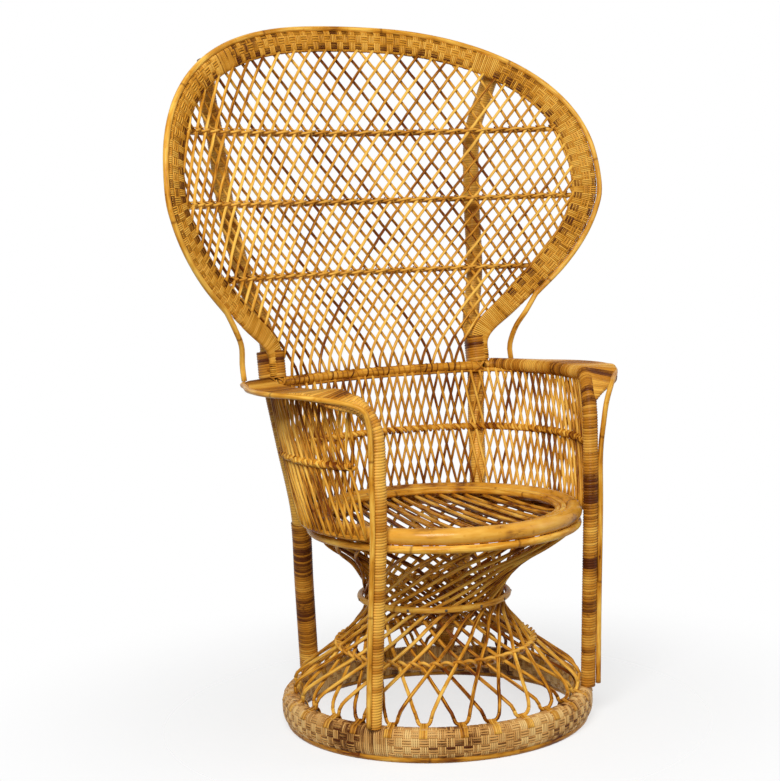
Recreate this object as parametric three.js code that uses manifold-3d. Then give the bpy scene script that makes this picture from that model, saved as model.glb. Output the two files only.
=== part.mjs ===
// A rattan peacock chair: an hourglass base of spiral rods, a round seat, a flared gallery
// with wide arms, and a tall hood with a diamond lattice. Millimetres, +Z up, and the sitter
// faces -Y. Nothing on the chair moves.
import * as THREE from "three";
import { mergeVertices } from "three/addons/utils/BufferGeometryUtils.js";
import Module from "manifold-3d";

const wasm = await Module();
wasm.setup();

// Fits
const CLEARANCE = 0.3; // gap left where two pieces touch

// Straight steps that stand for the curves
const HOOP_STEPS = 32;
const THIN_HOOP_STEPS = 28;
const LAYER_HOOP_STEPS = 24;
const HOURGLASS_STEPS = 10;
const LATTICE_STEPS = 4;
const STAY_STEPS = 12;
const UPRIGHT_STEPS = 22;
const GALLERY_STEPS = 24;

// Floor hoop and woven base border
const FLOOR_HOOP_RADIUS = 314;
const FLOOR_HOOP_DIAMETER = 22;
const FLOOR_FLAT = 1.5; // depth of the flat worn under the hoop
const BASE_BORDER_RADIUS = 312;
const BASE_BORDER_WIDTH = 42;
const BASE_BORDER_HEIGHT = 50;

// Hourglass of rods
const BASE_ROD = 7;
const BASE_ROD_COUNT = 10; // in each of the two layers
const BASE_LAYER_GAP = 5.4; // room between the two layers, which cross on a curved shell
const SKIRT_GAP = 3; // the same between the inner layer and the skirt hoop
const WAIST_GAP = 2; // the same between the outer layer and the waist hoop
const BASE_ROD_FOOT_RADIUS = 299;
const SKIRT_RADIUS = 216;
const SKIRT_HEIGHT = 168;
const SKIRT_HOOP = 10;
const WAIST_RADIUS = 146;
const WAIST_HEIGHT = 268;
const WAIST_HOOP = 14;
const ROD_END_RISE = 20; // upright end of a base rod inside the hoop under the seat
const NAIL_SHANK = 2.2;
const NAIL_LENGTH = 8;
const NAIL_HEAD = 6;
const NAIL_CROWN = 1.6; // height of the head

// Seat
const SEAT_HEIGHT = 452; // middle of the thick ring
const SEAT_FORWARD = 50; // middle of the seat ahead of the middle of the base
const SEAT_RING_RADIUS = 274;
const SEAT_RING = 34;
const SEAT_RING_SIDES = 8;
const SEAT_UNDER_OUT = 7; // the hoop under the ring is this much larger in radius
const SEAT_UNDER_HOOP = 16;
const SEAT_INNER_HOOP = 14;
const SEAT_ROD = 7;
const SEAT_ROD_PITCH = 60;
const SEAT_ROD_TURN = 76; // degrees between the rods and the chair's width
const SEAT_ROD_DROP = 6; // upper rods below the middle of the ring

// Arms, front legs and back rail
const RAIL_HEIGHT = 727;
const RAIL_BACK = 245; // middle of the back rail behind the middle of the base
const RAIL = 22;
const RAIL_SIDES = 8;
const NECK_X = 256; // where the hood's border and the uprights meet the rail
const ARM_POLE = 24;
const EDGE_ROD = 11;
const KNEE_ROOM = 3; // the edge rod stands this much off the wrap where it bends down
const EDGE_ROD_END = 105; // foot of the edge rod above the floor
const DECK_THICKNESS = 10;
const DECK_GAP = 0.6; // between the deck and the rods beside it
const ARM_CORNER = [306, 118];
const ARM_SIDE = [324, 16];
const ARM_FRONT = [311, -90];
const ARM_NOSE = [282, -172];
const BEND_DROP = 56; // from the arm's level to the middle of the bend into the leg
const BEND_SHIFT = [3, 5]; // the bend outward and backward of the knee
const KNEE_DROP = 158; // from the arm's level to the knee
const KNEE_FORWARD = 4; // the knee ahead of the leg beside the seat
// The edge rod outward, backward and upward of the arm pole, and of the knee at its bend
const EDGE_AT_NECK = [76, 0, 2];
const EDGE_AT_SPLICE = [72, -26, 3];
const EDGE_AT_CORNER = [62, 0, 4];
const EDGE_AT_SIDE = [78, 2, 6];
const EDGE_AT_FRONT = [94, 12, 6];
const EDGE_AT_NOSE = [86, 10, 4];
const EDGE_AT_BEND = [56, 4, 130];
const LEG_TURN = 54.2; // degrees from the front of the seat to a front leg
const LEG_FOOT_TURN = 52.6; // degrees from the front of the base to its foot
const REAR_FOOT_TURN = 148; // the same to the foot of an upright
const FOOT_RADIUS = 324;
const WRAP = 2; // thickness of the wound cane
const WRAP_GAP = 1.4; // between neighbouring turns
const WRAP_SIDES = 6; // flat steps in a turn round a pole
const LEG_WRAP_TURNS = 13;
const REAR_WRAP_TURNS = 8;
const WRAP_FOOT = 84; // lower end of the wraps above the floor
const LEG_WRAP_TOP = 556;
const REAR_WRAP_TOP = 380;
const FOOT_TILT = 0.17; // greatest lean of an arm pole at its foot
const REAR_FOOT_TILT = 0.3; // the same of an upright
const SPLICE_ROOM = 3.2; // between the square ends of the rail and of an arm pole
const ARM_STEPS = 30; // three for each span of the arm's curve
const DECK_FROM = 4; // first step of the arm that the deck covers
const DECK_TO = 14;

// Gallery
const GALLERY_ROD = 5.5;
const GALLERY_COUNT = 12; // in each of the two layers
const GALLERY_START = 60; // degrees from the front of the seat
const GALLERY_LEAN = 0.022; // sideways lean as a share of the gallery's length
const GALLERY_GAP = 7.6; // between the two layers
const GALLERY_FOOT_GAP = 1.5; // room for the straight steps of the foot round the seat ring
const GALLERY_HOOP = 9;
const GALLERY_HOOP_SHARE = 0.52; // of the gallery's height
const GALLERY_SAG = 4.8; // straight rods lie this far inside the round of the gallery

// Hood
const HOOD_LEAN = 0.135; // backward slope
const HOOD_CURL = 0.00072; // wings come forward by this times the square of their distance
const HOOD_HALF_WIDTH = 531;
const HOOD_MIDDLE = 1132; // height of the widest place
const HOOD_TOP = 1500;
const HOOD_TOP_POWER = 2.38;
const HOOD_LOW = 710; // height where the lower curve would close
const HOOD_LOW_POWER = 1.7;
const HOOD_LOW_END = -40; // degrees on the lower curve where the rim leaves the border
const NECK_STRAIGHT = 40; // upright end of the border above the rail
const NECK_BEND = [14, 20]; // outward and upward of the straight end
const NECK_FLARE = [50, 52]; // the same, nearer the lower curve
const RIM = 12;
const HOOD_BORDER_WIDTH = 44;
const HOOD_BORDER_THICKNESS = 12;
const LATTICE_ROD = 5.5;
const LATTICE_GAP = 2.8; // between the two layers
const LATTICE_PITCH = 70; // along the back rail
const LATTICE_SPREAD = 0.5; // share by which the pitch grows to the top
const LATTICE_SLANT = 430; // sideways run from the rail to the top
const LATTICE_TUCK = 0.9; // its edge rods reach this far in under the border's blunt edge
const STAY = 11;
const STAY_SIDES = 6;
const STAY_GAP = 1.4; // room for the straight steps of the stays and of the rods before them
const STAY_HEIGHTS = { bottom: 951, middle: 1109, top: 1262 };
const UPRIGHT = 36;
const UPRIGHT_TOP = 1415;
// Sideways from the neck, and behind the middle of the lattice, at each height of an upright
const UPRIGHT_AT_TOP = [92, 25.8];
const UPRIGHT_AT_SHOULDER = [67, 57];
const UPRIGHT_AT_TOP_STAY = [38, 77];
const UPRIGHT_AT_MIDDLE_STAY = [25, 79];
const UPRIGHT_AT_BOTTOM_STAY = [14, 56];
const UPRIGHT_SHOULDER = 1350;
const UPRIGHT_LOW_RISE = 105; // from the rail up to the place where an upright leaves the neck
const UPRIGHT_LOW_ROOM = 3; // how far it has moved back there
const UPRIGHT_NECK_RISE = 50;
const REAR_HIP_TURN = 136; // degrees from the front of the seat to an upright beside it
const REAR_HIP_ROOM = 0.8; // between the upright there and the foot of the gallery
const REAR_HIP_DROP = 12; // the bend beside the seat, below the middle of the ring
const NECK_WRAP_TURNS = 5;
const NECK_WRAP_RISE = 34; // upper end of the wrap above the border's end
const NECK_WRAP_SIDES = 8;
const LATTICE_NECK_RISE = 30; // the lattice stands clear of the wrap this far above the neck
const NECK_EASE = 1.165; // a blunt loop this much wider than a box goes round its corners

const GOLD = 0xc68a3a;
const HONEY = 0xb5762c;
const BROWN = 0x8a5626;
const DARK = 0x6b4120;
const STEEL = 0x4a4038;

const point = (x, y, z) => new THREE.Vector3(x, y, z);
const radians = THREE.MathUtils.degToRad;
const mix = THREE.MathUtils.lerp;
const chair = new THREE.Group();

function place(name, geometry, color, roughness = 0.55, metalness = 0) {
  const material = new THREE.MeshStandardMaterial({ color, roughness, metalness });
  const mesh = new THREE.Mesh(geometry, material);
  mesh.name = name;
  chair.add(mesh);
}

// Closed body through rings of equally many points; each ring runs counter-clockwise
// as seen from the end of the path.
function loft(rings, closed = false) {
  const sides = rings[0].length;
  const positions = rings.flat().flatMap((p) => [p.x, p.y, p.z]);
  const faces = [];
  const spans = closed ? rings.length : rings.length - 1;
  for (let i = 0; i < spans; i++) {
    const here = i * sides;
    const next = ((i + 1) % rings.length) * sides;
    for (let j = 0; j < sides; j++) {
      const k = (j + 1) % sides;
      faces.push(here + j, here + k, next + k, here + j, next + k, next + j);
    }
  }
  if (!closed) {
    const last = (rings.length - 1) * sides;
    for (let j = 1; j < sides - 1; j++) {
      faces.push(0, j + 1, j, last, last + j, last + j + 1);
    }
  }
  const geometry = new THREE.BufferGeometry();
  geometry.setAttribute("position", new THREE.Float32BufferAttribute(positions, 3));
  geometry.setIndex(faces);
  geometry.computeVertexNormals();
  return geometry;
}

function roundSection(diameter, sides) {
  const corners = [];
  for (let j = 0; j < sides; j++) {
    const angle = ((j + 0.5) * 2 * Math.PI) / sides;
    corners.push([(diameter / 2) * Math.cos(angle), (diameter / 2) * Math.sin(angle)]);
  }
  return corners;
}

function squareSection(size) {
  const half = size / 2;
  return [
    [half, -half],
    [half, half],
    [-half, half],
    [-half, -half],
  ];
}

// Distance from the middle of a round section to the flats between its corners.
const flatHalf = (diameter, sides) => (diameter / 2) * Math.cos(Math.PI / sides);

// Six-sided section with blunt edges: deep along the first axis, tall along the second.
function bandSection(deep, tall) {
  const flat = tall / 3;
  return [
    [deep / 2, -flat],
    [deep / 2, flat],
    [0, tall / 2],
    [-deep / 2, flat],
    [-deep / 2, -flat],
    [0, -tall / 2],
  ];
}

// Sections along a row of points. across(i) gives the direction of the section's first axis.
function sweep(points, section, across, closed = false) {
  const count = points.length;
  const rings = points.map((p, i) => {
    const before = closed ? points[(i + count - 1) % count] : points[Math.max(i - 1, 0)];
    const after = closed ? points[(i + 1) % count] : points[Math.min(i + 1, count - 1)];
    const along = after.clone().sub(before).normalize();
    const first = across(i).clone();
    first.addScaledVector(along, -first.dot(along)).normalize();
    const second = along.clone().cross(first);
    return section.map(([a, b]) => p.clone().addScaledVector(first, a).addScaledVector(second, b));
  });
  return loft(rings, closed);
}

// A point on a level circle, with the angle counted in degrees from the front.
function onCircle(radius, degrees, z, middleY = 0) {
  const angle = radians(degrees);
  return point(radius * Math.sin(angle), middleY - radius * Math.cos(angle), z);
}

// Level hoop whose section is given as outward and upward sizes.
function hoop(radius, z, section, steps, middleY = 0) {
  const points = [];
  for (let i = 0; i < steps; i++) points.push(onCircle(radius, (-360 * i) / steps, z, middleY));
  const middle = point(0, middleY, z);
  return sweep(points, section, (i) => points[i].clone().sub(middle), true);
}

function solid(geometry) {
  const bare = new THREE.BufferGeometry();
  bare.setAttribute("position", geometry.getAttribute("position"));
  bare.setIndex(geometry.index);
  const merged = mergeVertices(bare, 1e-3);
  const vertProperties = new Float32Array(merged.getAttribute("position").array);
  const triVerts = new Uint32Array(merged.index.array);
  return new wasm.Manifold(new wasm.Mesh({ numProp: 3, vertProperties, triVerts }));
}

function fromSolid(body) {
  const mesh = body.getMesh();
  const geometry = new THREE.BufferGeometry();
  geometry.setAttribute("position", new THREE.BufferAttribute(mesh.vertProperties, 3));
  geometry.setIndex(new THREE.BufferAttribute(mesh.triVerts, 1));
  geometry.computeVertexNormals();
  return geometry;
}

function joined(geometries) {
  let body = solid(geometries[0]);
  for (const geometry of geometries.slice(1)) body = body.add(solid(geometry));
  return fromSolid(body);
}

// How far the middle of a leaning pole's square end stands above what it rests on.
const footRoom = (diameter, tilt = FOOT_TILT) => CLEARANCE + (tilt * diameter) / 2;

// Base: floor hoop, woven border, two layers of rods, skirt and waist hoops
const floorHoopZ = FLOOR_HOOP_DIAMETER / 2 - FLOOR_FLAT;
const floorSection = roundSection(FLOOR_HOOP_DIAMETER, 8).map(([out, up]) => [
  out,
  Math.max(up, -floorHoopZ),
]);
place("floor_hoop", hoop(FLOOR_HOOP_RADIUS, floorHoopZ, floorSection, HOOP_STEPS), HONEY);

const floorHoopTop = floorHoopZ + Math.max(...floorSection.map(([, up]) => up));
const borderZ = floorHoopTop + CLEARANCE + BASE_BORDER_HEIGHT / 2;
const borderTop = borderZ + BASE_BORDER_HEIGHT / 2;
const boxSection = [
  [BASE_BORDER_WIDTH / 2, -BASE_BORDER_HEIGHT / 2],
  [BASE_BORDER_WIDTH / 2, BASE_BORDER_HEIGHT / 2],
  [-BASE_BORDER_WIDTH / 2, BASE_BORDER_HEIGHT / 2],
  [-BASE_BORDER_WIDTH / 2, -BASE_BORDER_HEIGHT / 2],
];
place("base_border", hoop(BASE_BORDER_RADIUS, borderZ, boxSection, HOOP_STEPS), BROWN, 0.65);

const underRadius = SEAT_RING_RADIUS + SEAT_UNDER_OUT;
const underReach = SEAT_RING / 2 + SEAT_UNDER_HOOP / 2 + CLEARANCE;
const underZ = SEAT_HEIGHT - Math.sqrt(underReach ** 2 - SEAT_UNDER_OUT ** 2);
const rodFootZ = borderTop + CLEARANCE + BASE_ROD / 2;
const insideUnderHoop = (underRadius - SEAT_UNDER_HOOP / 2) * Math.cos(Math.PI / THIN_HOOP_STEPS);
const rodTopRadius = insideUnderHoop - CLEARANCE - BASE_ROD / 2;

// The outer layer's path as radius, turn in degrees and height, from the border to the seat.
const lowerRise = SKIRT_HEIGHT - rodFootZ;
const upperRise = underZ - WAIST_HEIGHT;
const upperFlare = rodTopRadius - WAIST_RADIUS;
const hourglass = new THREE.CatmullRomCurve3(
  [
    point(BASE_ROD_FOOT_RADIUS, 0, rodFootZ),
    point(BASE_ROD_FOOT_RADIUS, 1, rodFootZ + 0.1 * lowerRise),
    point(mix(BASE_ROD_FOOT_RADIUS, SKIRT_RADIUS, 0.4), 4, rodFootZ + 0.46 * lowerRise),
    point(SKIRT_RADIUS, 12, SKIRT_HEIGHT),
    point(mix(SKIRT_RADIUS, WAIST_RADIUS, 0.72), 22, mix(SKIRT_HEIGHT, WAIST_HEIGHT, 0.52)),
    point(WAIST_RADIUS, 36, WAIST_HEIGHT),
    point(WAIST_RADIUS + 0.08 * upperFlare, 54, WAIST_HEIGHT + 0.28 * upperRise),
    point(WAIST_RADIUS + 0.38 * upperFlare, 72, WAIST_HEIGHT + 0.53 * upperRise),
    point(WAIST_RADIUS + 0.8 * upperFlare, 88, WAIST_HEIGHT + 0.77 * upperRise),
    point(rodTopRadius, 94, underZ - ROD_END_RISE),
    point(rodTopRadius, 94, underZ),
  ],
  false,
  "catmullrom",
  0.5,
);

function seatShift(z) {
  return -SEAT_FORWARD * THREE.MathUtils.smoothstep(z, WAIST_HEIGHT, underZ);
}

// A point of the hourglass, a given depth inside the outer layer.
function onHourglass(share, startDegrees, turnSign, depth) {
  const spot = hourglass.getPoint(share);
  const along = hourglass.getTangent(share);
  const outward = new THREE.Vector2(along.z, -along.x).normalize();
  const z = spot.z - depth * outward.y;
  return onCircle(spot.x - depth * outward.x, startDegrees + turnSign * spot.y, z, seatShift(spot.z));
}

function hourglassLayer(depth, turnSign) {
  const section = squareSection(BASE_ROD);
  const pieces = [];
  for (const share of [0, 1]) {
    const points = [];
    for (let i = 0; i < LAYER_HOOP_STEPS; i++) {
      points.push(onHourglass(share, (-360 * i) / LAYER_HOOP_STEPS, 0, depth));
    }
    const middle = point(0, seatShift(points[0].z), points[0].z);
    pieces.push(sweep(points, section, (i) => points[i].clone().sub(middle), true));
  }
  for (let k = 0; k < BASE_ROD_COUNT; k++) {
    const start = (360 * k) / BASE_ROD_COUNT;
    const points = [];
    for (let i = 0; i <= HOURGLASS_STEPS; i++) {
      points.push(onHourglass(i / HOURGLASS_STEPS, start, turnSign, depth));
    }
    pieces.push(sweep(points, section, (i) => point(points[i].x, points[i].y, 0)));
  }
  return joined(pieces);
}
const innerLayerDepth = BASE_ROD + BASE_LAYER_GAP;
place("base_rods_outer", hourglassLayer(0, 1), GOLD, 0.45);
place("base_rods_inner", hourglassLayer(innerLayerDepth, -1), HONEY, 0.5);

const skirtShare = 0.3; // fourth of the eleven points of the hourglass
const skirtDepth = innerLayerDepth + BASE_ROD / 2 + SKIRT_GAP + SKIRT_HOOP / 2;
const skirtPoint = onHourglass(skirtShare, 90, 0, skirtDepth);
place("skirt_hoop", hoop(skirtPoint.x, skirtPoint.z, squareSection(SKIRT_HOOP), THIN_HOOP_STEPS), BROWN);

const WAIST_STEPS = 28;
const WAIST_STEPS_PER_NAIL = 7;
const waistHoopRadius =
  (WAIST_RADIUS + BASE_ROD / 2 + WAIST_GAP + WAIST_HOOP / 2) / Math.cos(Math.PI / WAIST_STEPS);
const waistSection = roundSection(WAIST_HOOP, 6);
const waistFace = Math.max(...waistSection.map(([out]) => out));
let waistHoop = solid(hoop(waistHoopRadius, WAIST_HEIGHT, waistSection, WAIST_STEPS));
const nailProfile = [
  [0, -NAIL_LENGTH],
  [NAIL_SHANK / 2, -NAIL_LENGTH],
  [NAIL_SHANK / 2, 0],
  [NAIL_HEAD / 2, 0],
  [NAIL_HEAD / 2, NAIL_CROWN / 2],
  [NAIL_HEAD / 4, NAIL_CROWN],
  [0, NAIL_CROWN],
].map(([radius, out]) => new THREE.Vector2(radius, out));
for (let k = 0; k < WAIST_STEPS / WAIST_STEPS_PER_NAIL; k++) {
  const degrees = ((k * WAIST_STEPS_PER_NAIL + 0.5) * 360) / WAIST_STEPS;
  const faceRadius = (waistHoopRadius + waistFace) * Math.cos(Math.PI / WAIST_STEPS);
  const turn = new THREE.Matrix4().makeRotationZ(radians(degrees) - Math.PI);
  const head = onCircle(faceRadius + CLEARANCE, degrees, WAIST_HEIGHT);
  turn.setPosition(head);
  const bore = new THREE.CylinderGeometry(
    NAIL_SHANK / 2 + CLEARANCE,
    NAIL_SHANK / 2 + CLEARANCE,
    2 * (NAIL_LENGTH + CLEARANCE),
    6,
  );
  waistHoop = waistHoop.subtract(solid(bore.applyMatrix4(turn)));
  place(`waist_nail_${k + 1}`, new THREE.LatheGeometry(nailProfile, 6).applyMatrix4(turn), STEEL, 0.4, 0.8);
}
place("waist_hoop", fromSolid(waistHoop), GOLD, 0.4);

// Seat: thick ring, hoop under it, hoop inside it and two layers of rods
const seatY = -SEAT_FORWARD;
const ringSection = roundSection(SEAT_RING, SEAT_RING_SIDES);
place("seat_ring", hoop(SEAT_RING_RADIUS, SEAT_HEIGHT, ringSection, HOOP_STEPS, seatY), GOLD, 0.3);
const underSection = roundSection(SEAT_UNDER_HOOP, 6);
place("seat_under_hoop", hoop(underRadius, underZ, underSection, THIN_HOOP_STEPS, seatY), HONEY, 0.4);

// Radius of a hoop that touches the inside of the thick ring at a given height.
function insideRing(diameter, z) {
  const reach = SEAT_RING / 2 + diameter / 2 + CLEARANCE;
  return SEAT_RING_RADIUS - Math.sqrt(reach ** 2 - (z - SEAT_HEIGHT) ** 2);
}
const upperRodZ = SEAT_HEIGHT - SEAT_ROD_DROP;
const lowerRodZ = upperRodZ - SEAT_ROD - CLEARANCE;
function seatLayer(z, degrees) {
  const rim = insideRing(SEAT_ROD * Math.SQRT2, z);
  const section = squareSection(SEAT_ROD);
  const pieces = [hoop(rim, z, section, THIN_HOOP_STEPS, seatY)];
  const along = point(Math.cos(radians(degrees)), -Math.sin(radians(degrees)), 0);
  const aside = point(along.y, -along.x, 0);
  const most = Math.floor((rim - SEAT_ROD) / SEAT_ROD_PITCH);
  for (let k = -most; k <= most; k++) {
    const offset = k * SEAT_ROD_PITCH;
    const half = Math.sqrt(rim ** 2 - offset ** 2);
    const middle = point(0, seatY, z).addScaledVector(aside, offset);
    const ends = [-half, half].map((reach) => middle.clone().addScaledVector(along, reach));
    pieces.push(sweep(ends, section, () => aside));
  }
  return joined(pieces);
}
place("seat_rods_upper", seatLayer(upperRodZ, -SEAT_ROD_TURN), HONEY);
place("seat_rods_lower", seatLayer(lowerRodZ, SEAT_ROD_TURN), BROWN);
const innerHoopZ = upperRodZ + SEAT_ROD / 2 + CLEARANCE + SEAT_INNER_HOOP / 2;
const innerHoopRadius = insideRing(SEAT_INNER_HOOP, innerHoopZ);
const innerSection = roundSection(SEAT_INNER_HOOP, 6);
const innerHoop = hoop(innerHoopRadius, innerHoopZ, innerSection, THIN_HOOP_STEPS, seatY);
place("seat_inner_hoop", innerHoop, GOLD, 0.4);

// Hood shell: a sheet that leans back and curls forward at its wings
function onHood(x, z, behind = 0) {
  const y = RAIL_BACK + HOOD_LEAN * (z - RAIL_HEIGHT) - HOOD_CURL * x * x;
  const backward = point(2 * HOOD_CURL * x, 1, -HOOD_LEAN).normalize();
  return point(x, y, z).addScaledVector(backward, behind);
}
function hoodNormal(p) {
  return point(2 * HOOD_CURL * p.x, 1, -HOOD_LEAN).normalize();
}

// Back rail between the necks
const railSteps = [-1, -0.75, -0.5, -0.25, 0, 0.25, 0.5, 0.75, 1];
const railPoints = railSteps.map((share) => onHood(share * NECK_X, RAIL_HEIGHT));
place("back_rail", sweep(railPoints, roundSection(RAIL, RAIL_SIDES), () => point(0, 1, 0)), HONEY, 0.4);

// Arm poles run from the neck round the gallery and bend down into the front legs
const wrapInside = (ARM_POLE / 2 + 2 * CLEARANCE) / Math.cos(Math.PI / WRAP_SIDES);
const legStandOff = SEAT_RING_RADIUS + SEAT_RING / 2 + CLEARANCE + wrapInside + WRAP;
const armZ = RAIL_HEIGHT - RAIL / 2 + ARM_POLE / 2;
const neckEnd = onHood(NECK_X, RAIL_HEIGHT);
const neckAlong = neckEnd.clone().sub(railPoints[railPoints.length - 2]).normalize();
const armStart = neckEnd.clone().addScaledVector(neckAlong, SPLICE_ROOM);
const legAtSeat = onCircle(legStandOff, LEG_TURN, SEAT_HEIGHT, seatY);
const legFoot = onCircle(FOOT_RADIUS, LEG_FOOT_TURN, borderTop + footRoom(ARM_POLE));
const legKnee = point(legAtSeat.x, legAtSeat.y - KNEE_FORWARD, armZ - KNEE_DROP);
const legBend = point(legKnee.x + BEND_SHIFT[0], legKnee.y + BEND_SHIFT[1], armZ - BEND_DROP);
const armSplice = armStart.clone().addScaledVector(neckAlong, ARM_POLE);
const shin = legAtSeat.clone().lerp(legFoot, 0.55);
const armCorner = point(...ARM_CORNER, armZ);
const armSide = point(...ARM_SIDE, armZ);
const armFront = point(...ARM_FRONT, armZ);
const armNose = point(...ARM_NOSE, armZ);
const armPoints = [
  armStart.setZ(armZ),
  armSplice.setZ(armZ),
  armCorner,
  armSide,
  armFront,
  armNose,
  legBend,
  legKnee,
  legAtSeat,
  shin,
  legFoot,
];
const armCurve = new THREE.CatmullRomCurve3(armPoints, false, "catmullrom", 0.5);

// The bare edge rod follows the outside of the arm and of the leg, point for point.
const besideLeg = wrapInside + WRAP + CLEARANCE + EDGE_ROD / 2;
const beside = (p) => point(p.x + besideLeg, p.y, p.z);
const moved = (p, shift) => p.clone().add(point(...shift));
const edgePoints = [
  moved(armStart, EDGE_AT_NECK),
  moved(armSplice, EDGE_AT_SPLICE),
  moved(armCorner, EDGE_AT_CORNER),
  moved(armSide, EDGE_AT_SIDE),
  moved(armFront, EDGE_AT_FRONT),
  moved(armNose, EDGE_AT_NOSE),
  moved(legKnee, EDGE_AT_BEND),
  beside(legKnee).add(point(KNEE_ROOM, 0, 0)),
  beside(legAtSeat),
  beside(shin),
  beside(legAtSeat.clone().lerp(legFoot, 0.9)).setZ(EDGE_ROD_END),
];
const edgeCurve = new THREE.CatmullRomCurve3(edgePoints, false, "catmullrom", 0.5);

// Slab of cane between the arm pole and the edge rod.
function armDeck(mirror) {
  const rings = [];
  for (let i = DECK_FROM; i <= DECK_TO; i++) {
    const share = i / ARM_STEPS;
    const pole = armCurve.getPoint(share);
    const edge = edgeCurve.getPoint(share);
    const outward = edge.clone().sub(pole).normalize();
    const square = (curve) => outward.clone().cross(curve.getTangent(share)).length();
    const poleReach = (ARM_POLE / 2 + DECK_GAP) / square(armCurve);
    const edgeReach = (EDGE_ROD / 2 + DECK_GAP) / square(edgeCurve);
    const inner = pole.clone().addScaledVector(outward, poleReach);
    const outer = edge.clone().addScaledVector(outward, -edgeReach);
    const lift = point(0, 0, DECK_THICKNESS / 2);
    const corners = [inner.clone().add(lift), outer.clone().add(lift), outer.sub(lift), inner.sub(lift)];
    for (const corner of corners) corner.x *= mirror;
    rings.push(mirror > 0 ? corners.reverse() : corners);
  }
  return loft(rings);
}

// Cane wound round a pole as one flat strip; loop(angle) gives the middle of the strip as
// seen along the pole, its first size going sideways. Prints the least gap between turns.
function winding(name, curve, [from, to], [turns, sides], loop, sideways = point(1, 0, 0)) {
  const strip = (curve.getLength() * (to - from)) / turns - WRAP_GAP;
  const steps = (turns - 1) * sides;
  const rings = [];
  for (let i = 0; i <= steps; i++) {
    const share = mix(from, to, (i / sides + 0.5) / turns);
    const along = curve.getTangentAt(share);
    const first = sideways.clone().addScaledVector(along, -along.dot(sideways)).normalize();
    const second = along.clone().cross(first);
    const [a, b] = loop((2 * Math.PI * i) / sides);
    const radial = first.multiplyScalar(a).addScaledVector(second, b);
    const middle = curve.getPointAt(share).add(radial);
    radial.setLength(WRAP / 2);
    along.multiplyScalar(strip / 2);
    const outer = middle.clone().add(radial);
    const inner = middle.sub(radial);
    rings.push([
      outer.clone().add(along),
      outer.sub(along),
      inner.clone().sub(along),
      inner.add(along),
    ]);
  }
  let least = Infinity;
  for (let i = 0; i + sides - 1 <= steps; i++) {
    const ends = [rings[i][0], rings[i][3]];
    for (const later of rings.slice(i + sides - 1, i + sides + 2)) {
      const starts = [later[1], later[2]];
      least = Math.min(least, ...ends.flatMap((end) => starts.map((begin) => begin.distanceTo(end))));
    }
  }
  console.log(`${name}: ${turns} turns, least gap between turns ${least.toFixed(2)} mm`);
  return loft(rings);
}
const roundLoop = (radius) => (angle) => [radius * Math.cos(angle), radius * Math.sin(angle)];

// The share of a curve's length at which it falls past a height.
function shareAtHeight(curve, z, from, to) {
  let low = from;
  let high = to;
  for (let i = 0; i < 40; i++) {
    const middle = (low + high) / 2;
    if (curve.getPointAt(middle).z > z) low = middle;
    else high = middle;
  }
  return low;
}

// The border's square ends stand above the rail and the arms with room for the hood's lean.
const neckLow = armZ + ARM_POLE / 2 + CLEARANCE + (HOOD_BORDER_THICKNESS / 2) * HOOD_LEAN;

// Hood outline from the right neck over the top to the left neck, as x and z.
function hoodOutline() {
  const reach = NECK_X + RIM + CLEARANCE + HOOD_BORDER_WIDTH / 2;
  const right = [
    [reach, neckLow],
    [reach, neckLow + NECK_STRAIGHT / 2],
    [reach, neckLow + NECK_STRAIGHT],
    ...[NECK_BEND, NECK_FLARE].map(([out, up]) => [reach + out, neckLow + NECK_STRAIGHT + up]),
  ];
  for (let degrees = HOOD_LOW_END; degrees < 90; degrees += 10) {
    const power = 2 / (degrees < 0 ? HOOD_LOW_POWER : HOOD_TOP_POWER);
    const rise = degrees < 0 ? HOOD_LOW - HOOD_MIDDLE : HOOD_TOP - HOOD_MIDDLE;
    const x = HOOD_HALF_WIDTH * Math.cos(radians(degrees)) ** power;
    const z = HOOD_MIDDLE + rise * Math.abs(Math.sin(radians(degrees))) ** power;
    right.push([x, z]);
  }
  const left = right.map(([x, z]) => [-x, z]).reverse();
  return [...right, [0, HOOD_TOP], ...left].map(([x, z]) => new THREE.Vector2(x, z));
}
const outline = hoodOutline();
const rimStart = 5; // number of outline points below the place where the rim joins

function insetOutline(distance) {
  return outline.map((p, i) => {
    const before = outline[Math.max(i - 1, 0)];
    const after = outline[Math.min(i + 1, outline.length - 1)];
    const along = after.clone().sub(before).normalize();
    return new THREE.Vector2(p.x - distance * along.y, p.y + distance * along.x);
  });
}

// Rim rod with the two S-shaped ends that come down to the rear corners of the arms.
const rimInset = insetOutline(RIM / 2).slice(rimStart, outline.length - rimStart);
const rimArch = rimInset.map((p) => onHood(p.x, p.y));
const rimFoot = edgePoints[0].clone().setZ(edgePoints[0].z + EDGE_ROD / 2 + 2 * footRoom(RIM));
const rimBends = [
  [0.5, 0.3],
  [0.94, 0.62],
].map(([aside, down]) => {
  const bend = rimArch[0].clone().lerp(rimFoot, down);
  return bend.setX(mix(rimArch[0].x, rimFoot.x, aside));
});
const rimEnd = [rimFoot, ...rimBends.reverse()];
const mirrored = (p) => point(-p.x, p.y, p.z);
const rimPoints = [...rimEnd, ...rimArch, ...rimEnd.map(mirrored).reverse()];
const rimSection = roundSection(RIM, 6);
place("hood_rim_rod", sweep(rimPoints, rimSection, (i) => hoodNormal(rimPoints[i])), GOLD, 0.35);

const borderPoints = insetOutline(RIM + CLEARANCE + HOOD_BORDER_WIDTH / 2).map((p) => onHood(p.x, p.y));
const hoodBand = bandSection(HOOD_BORDER_THICKNESS, HOOD_BORDER_WIDTH);
place("hood_border", sweep(borderPoints, hoodBand, (i) => hoodNormal(borderPoints[i])), BROWN, 0.6);

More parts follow.
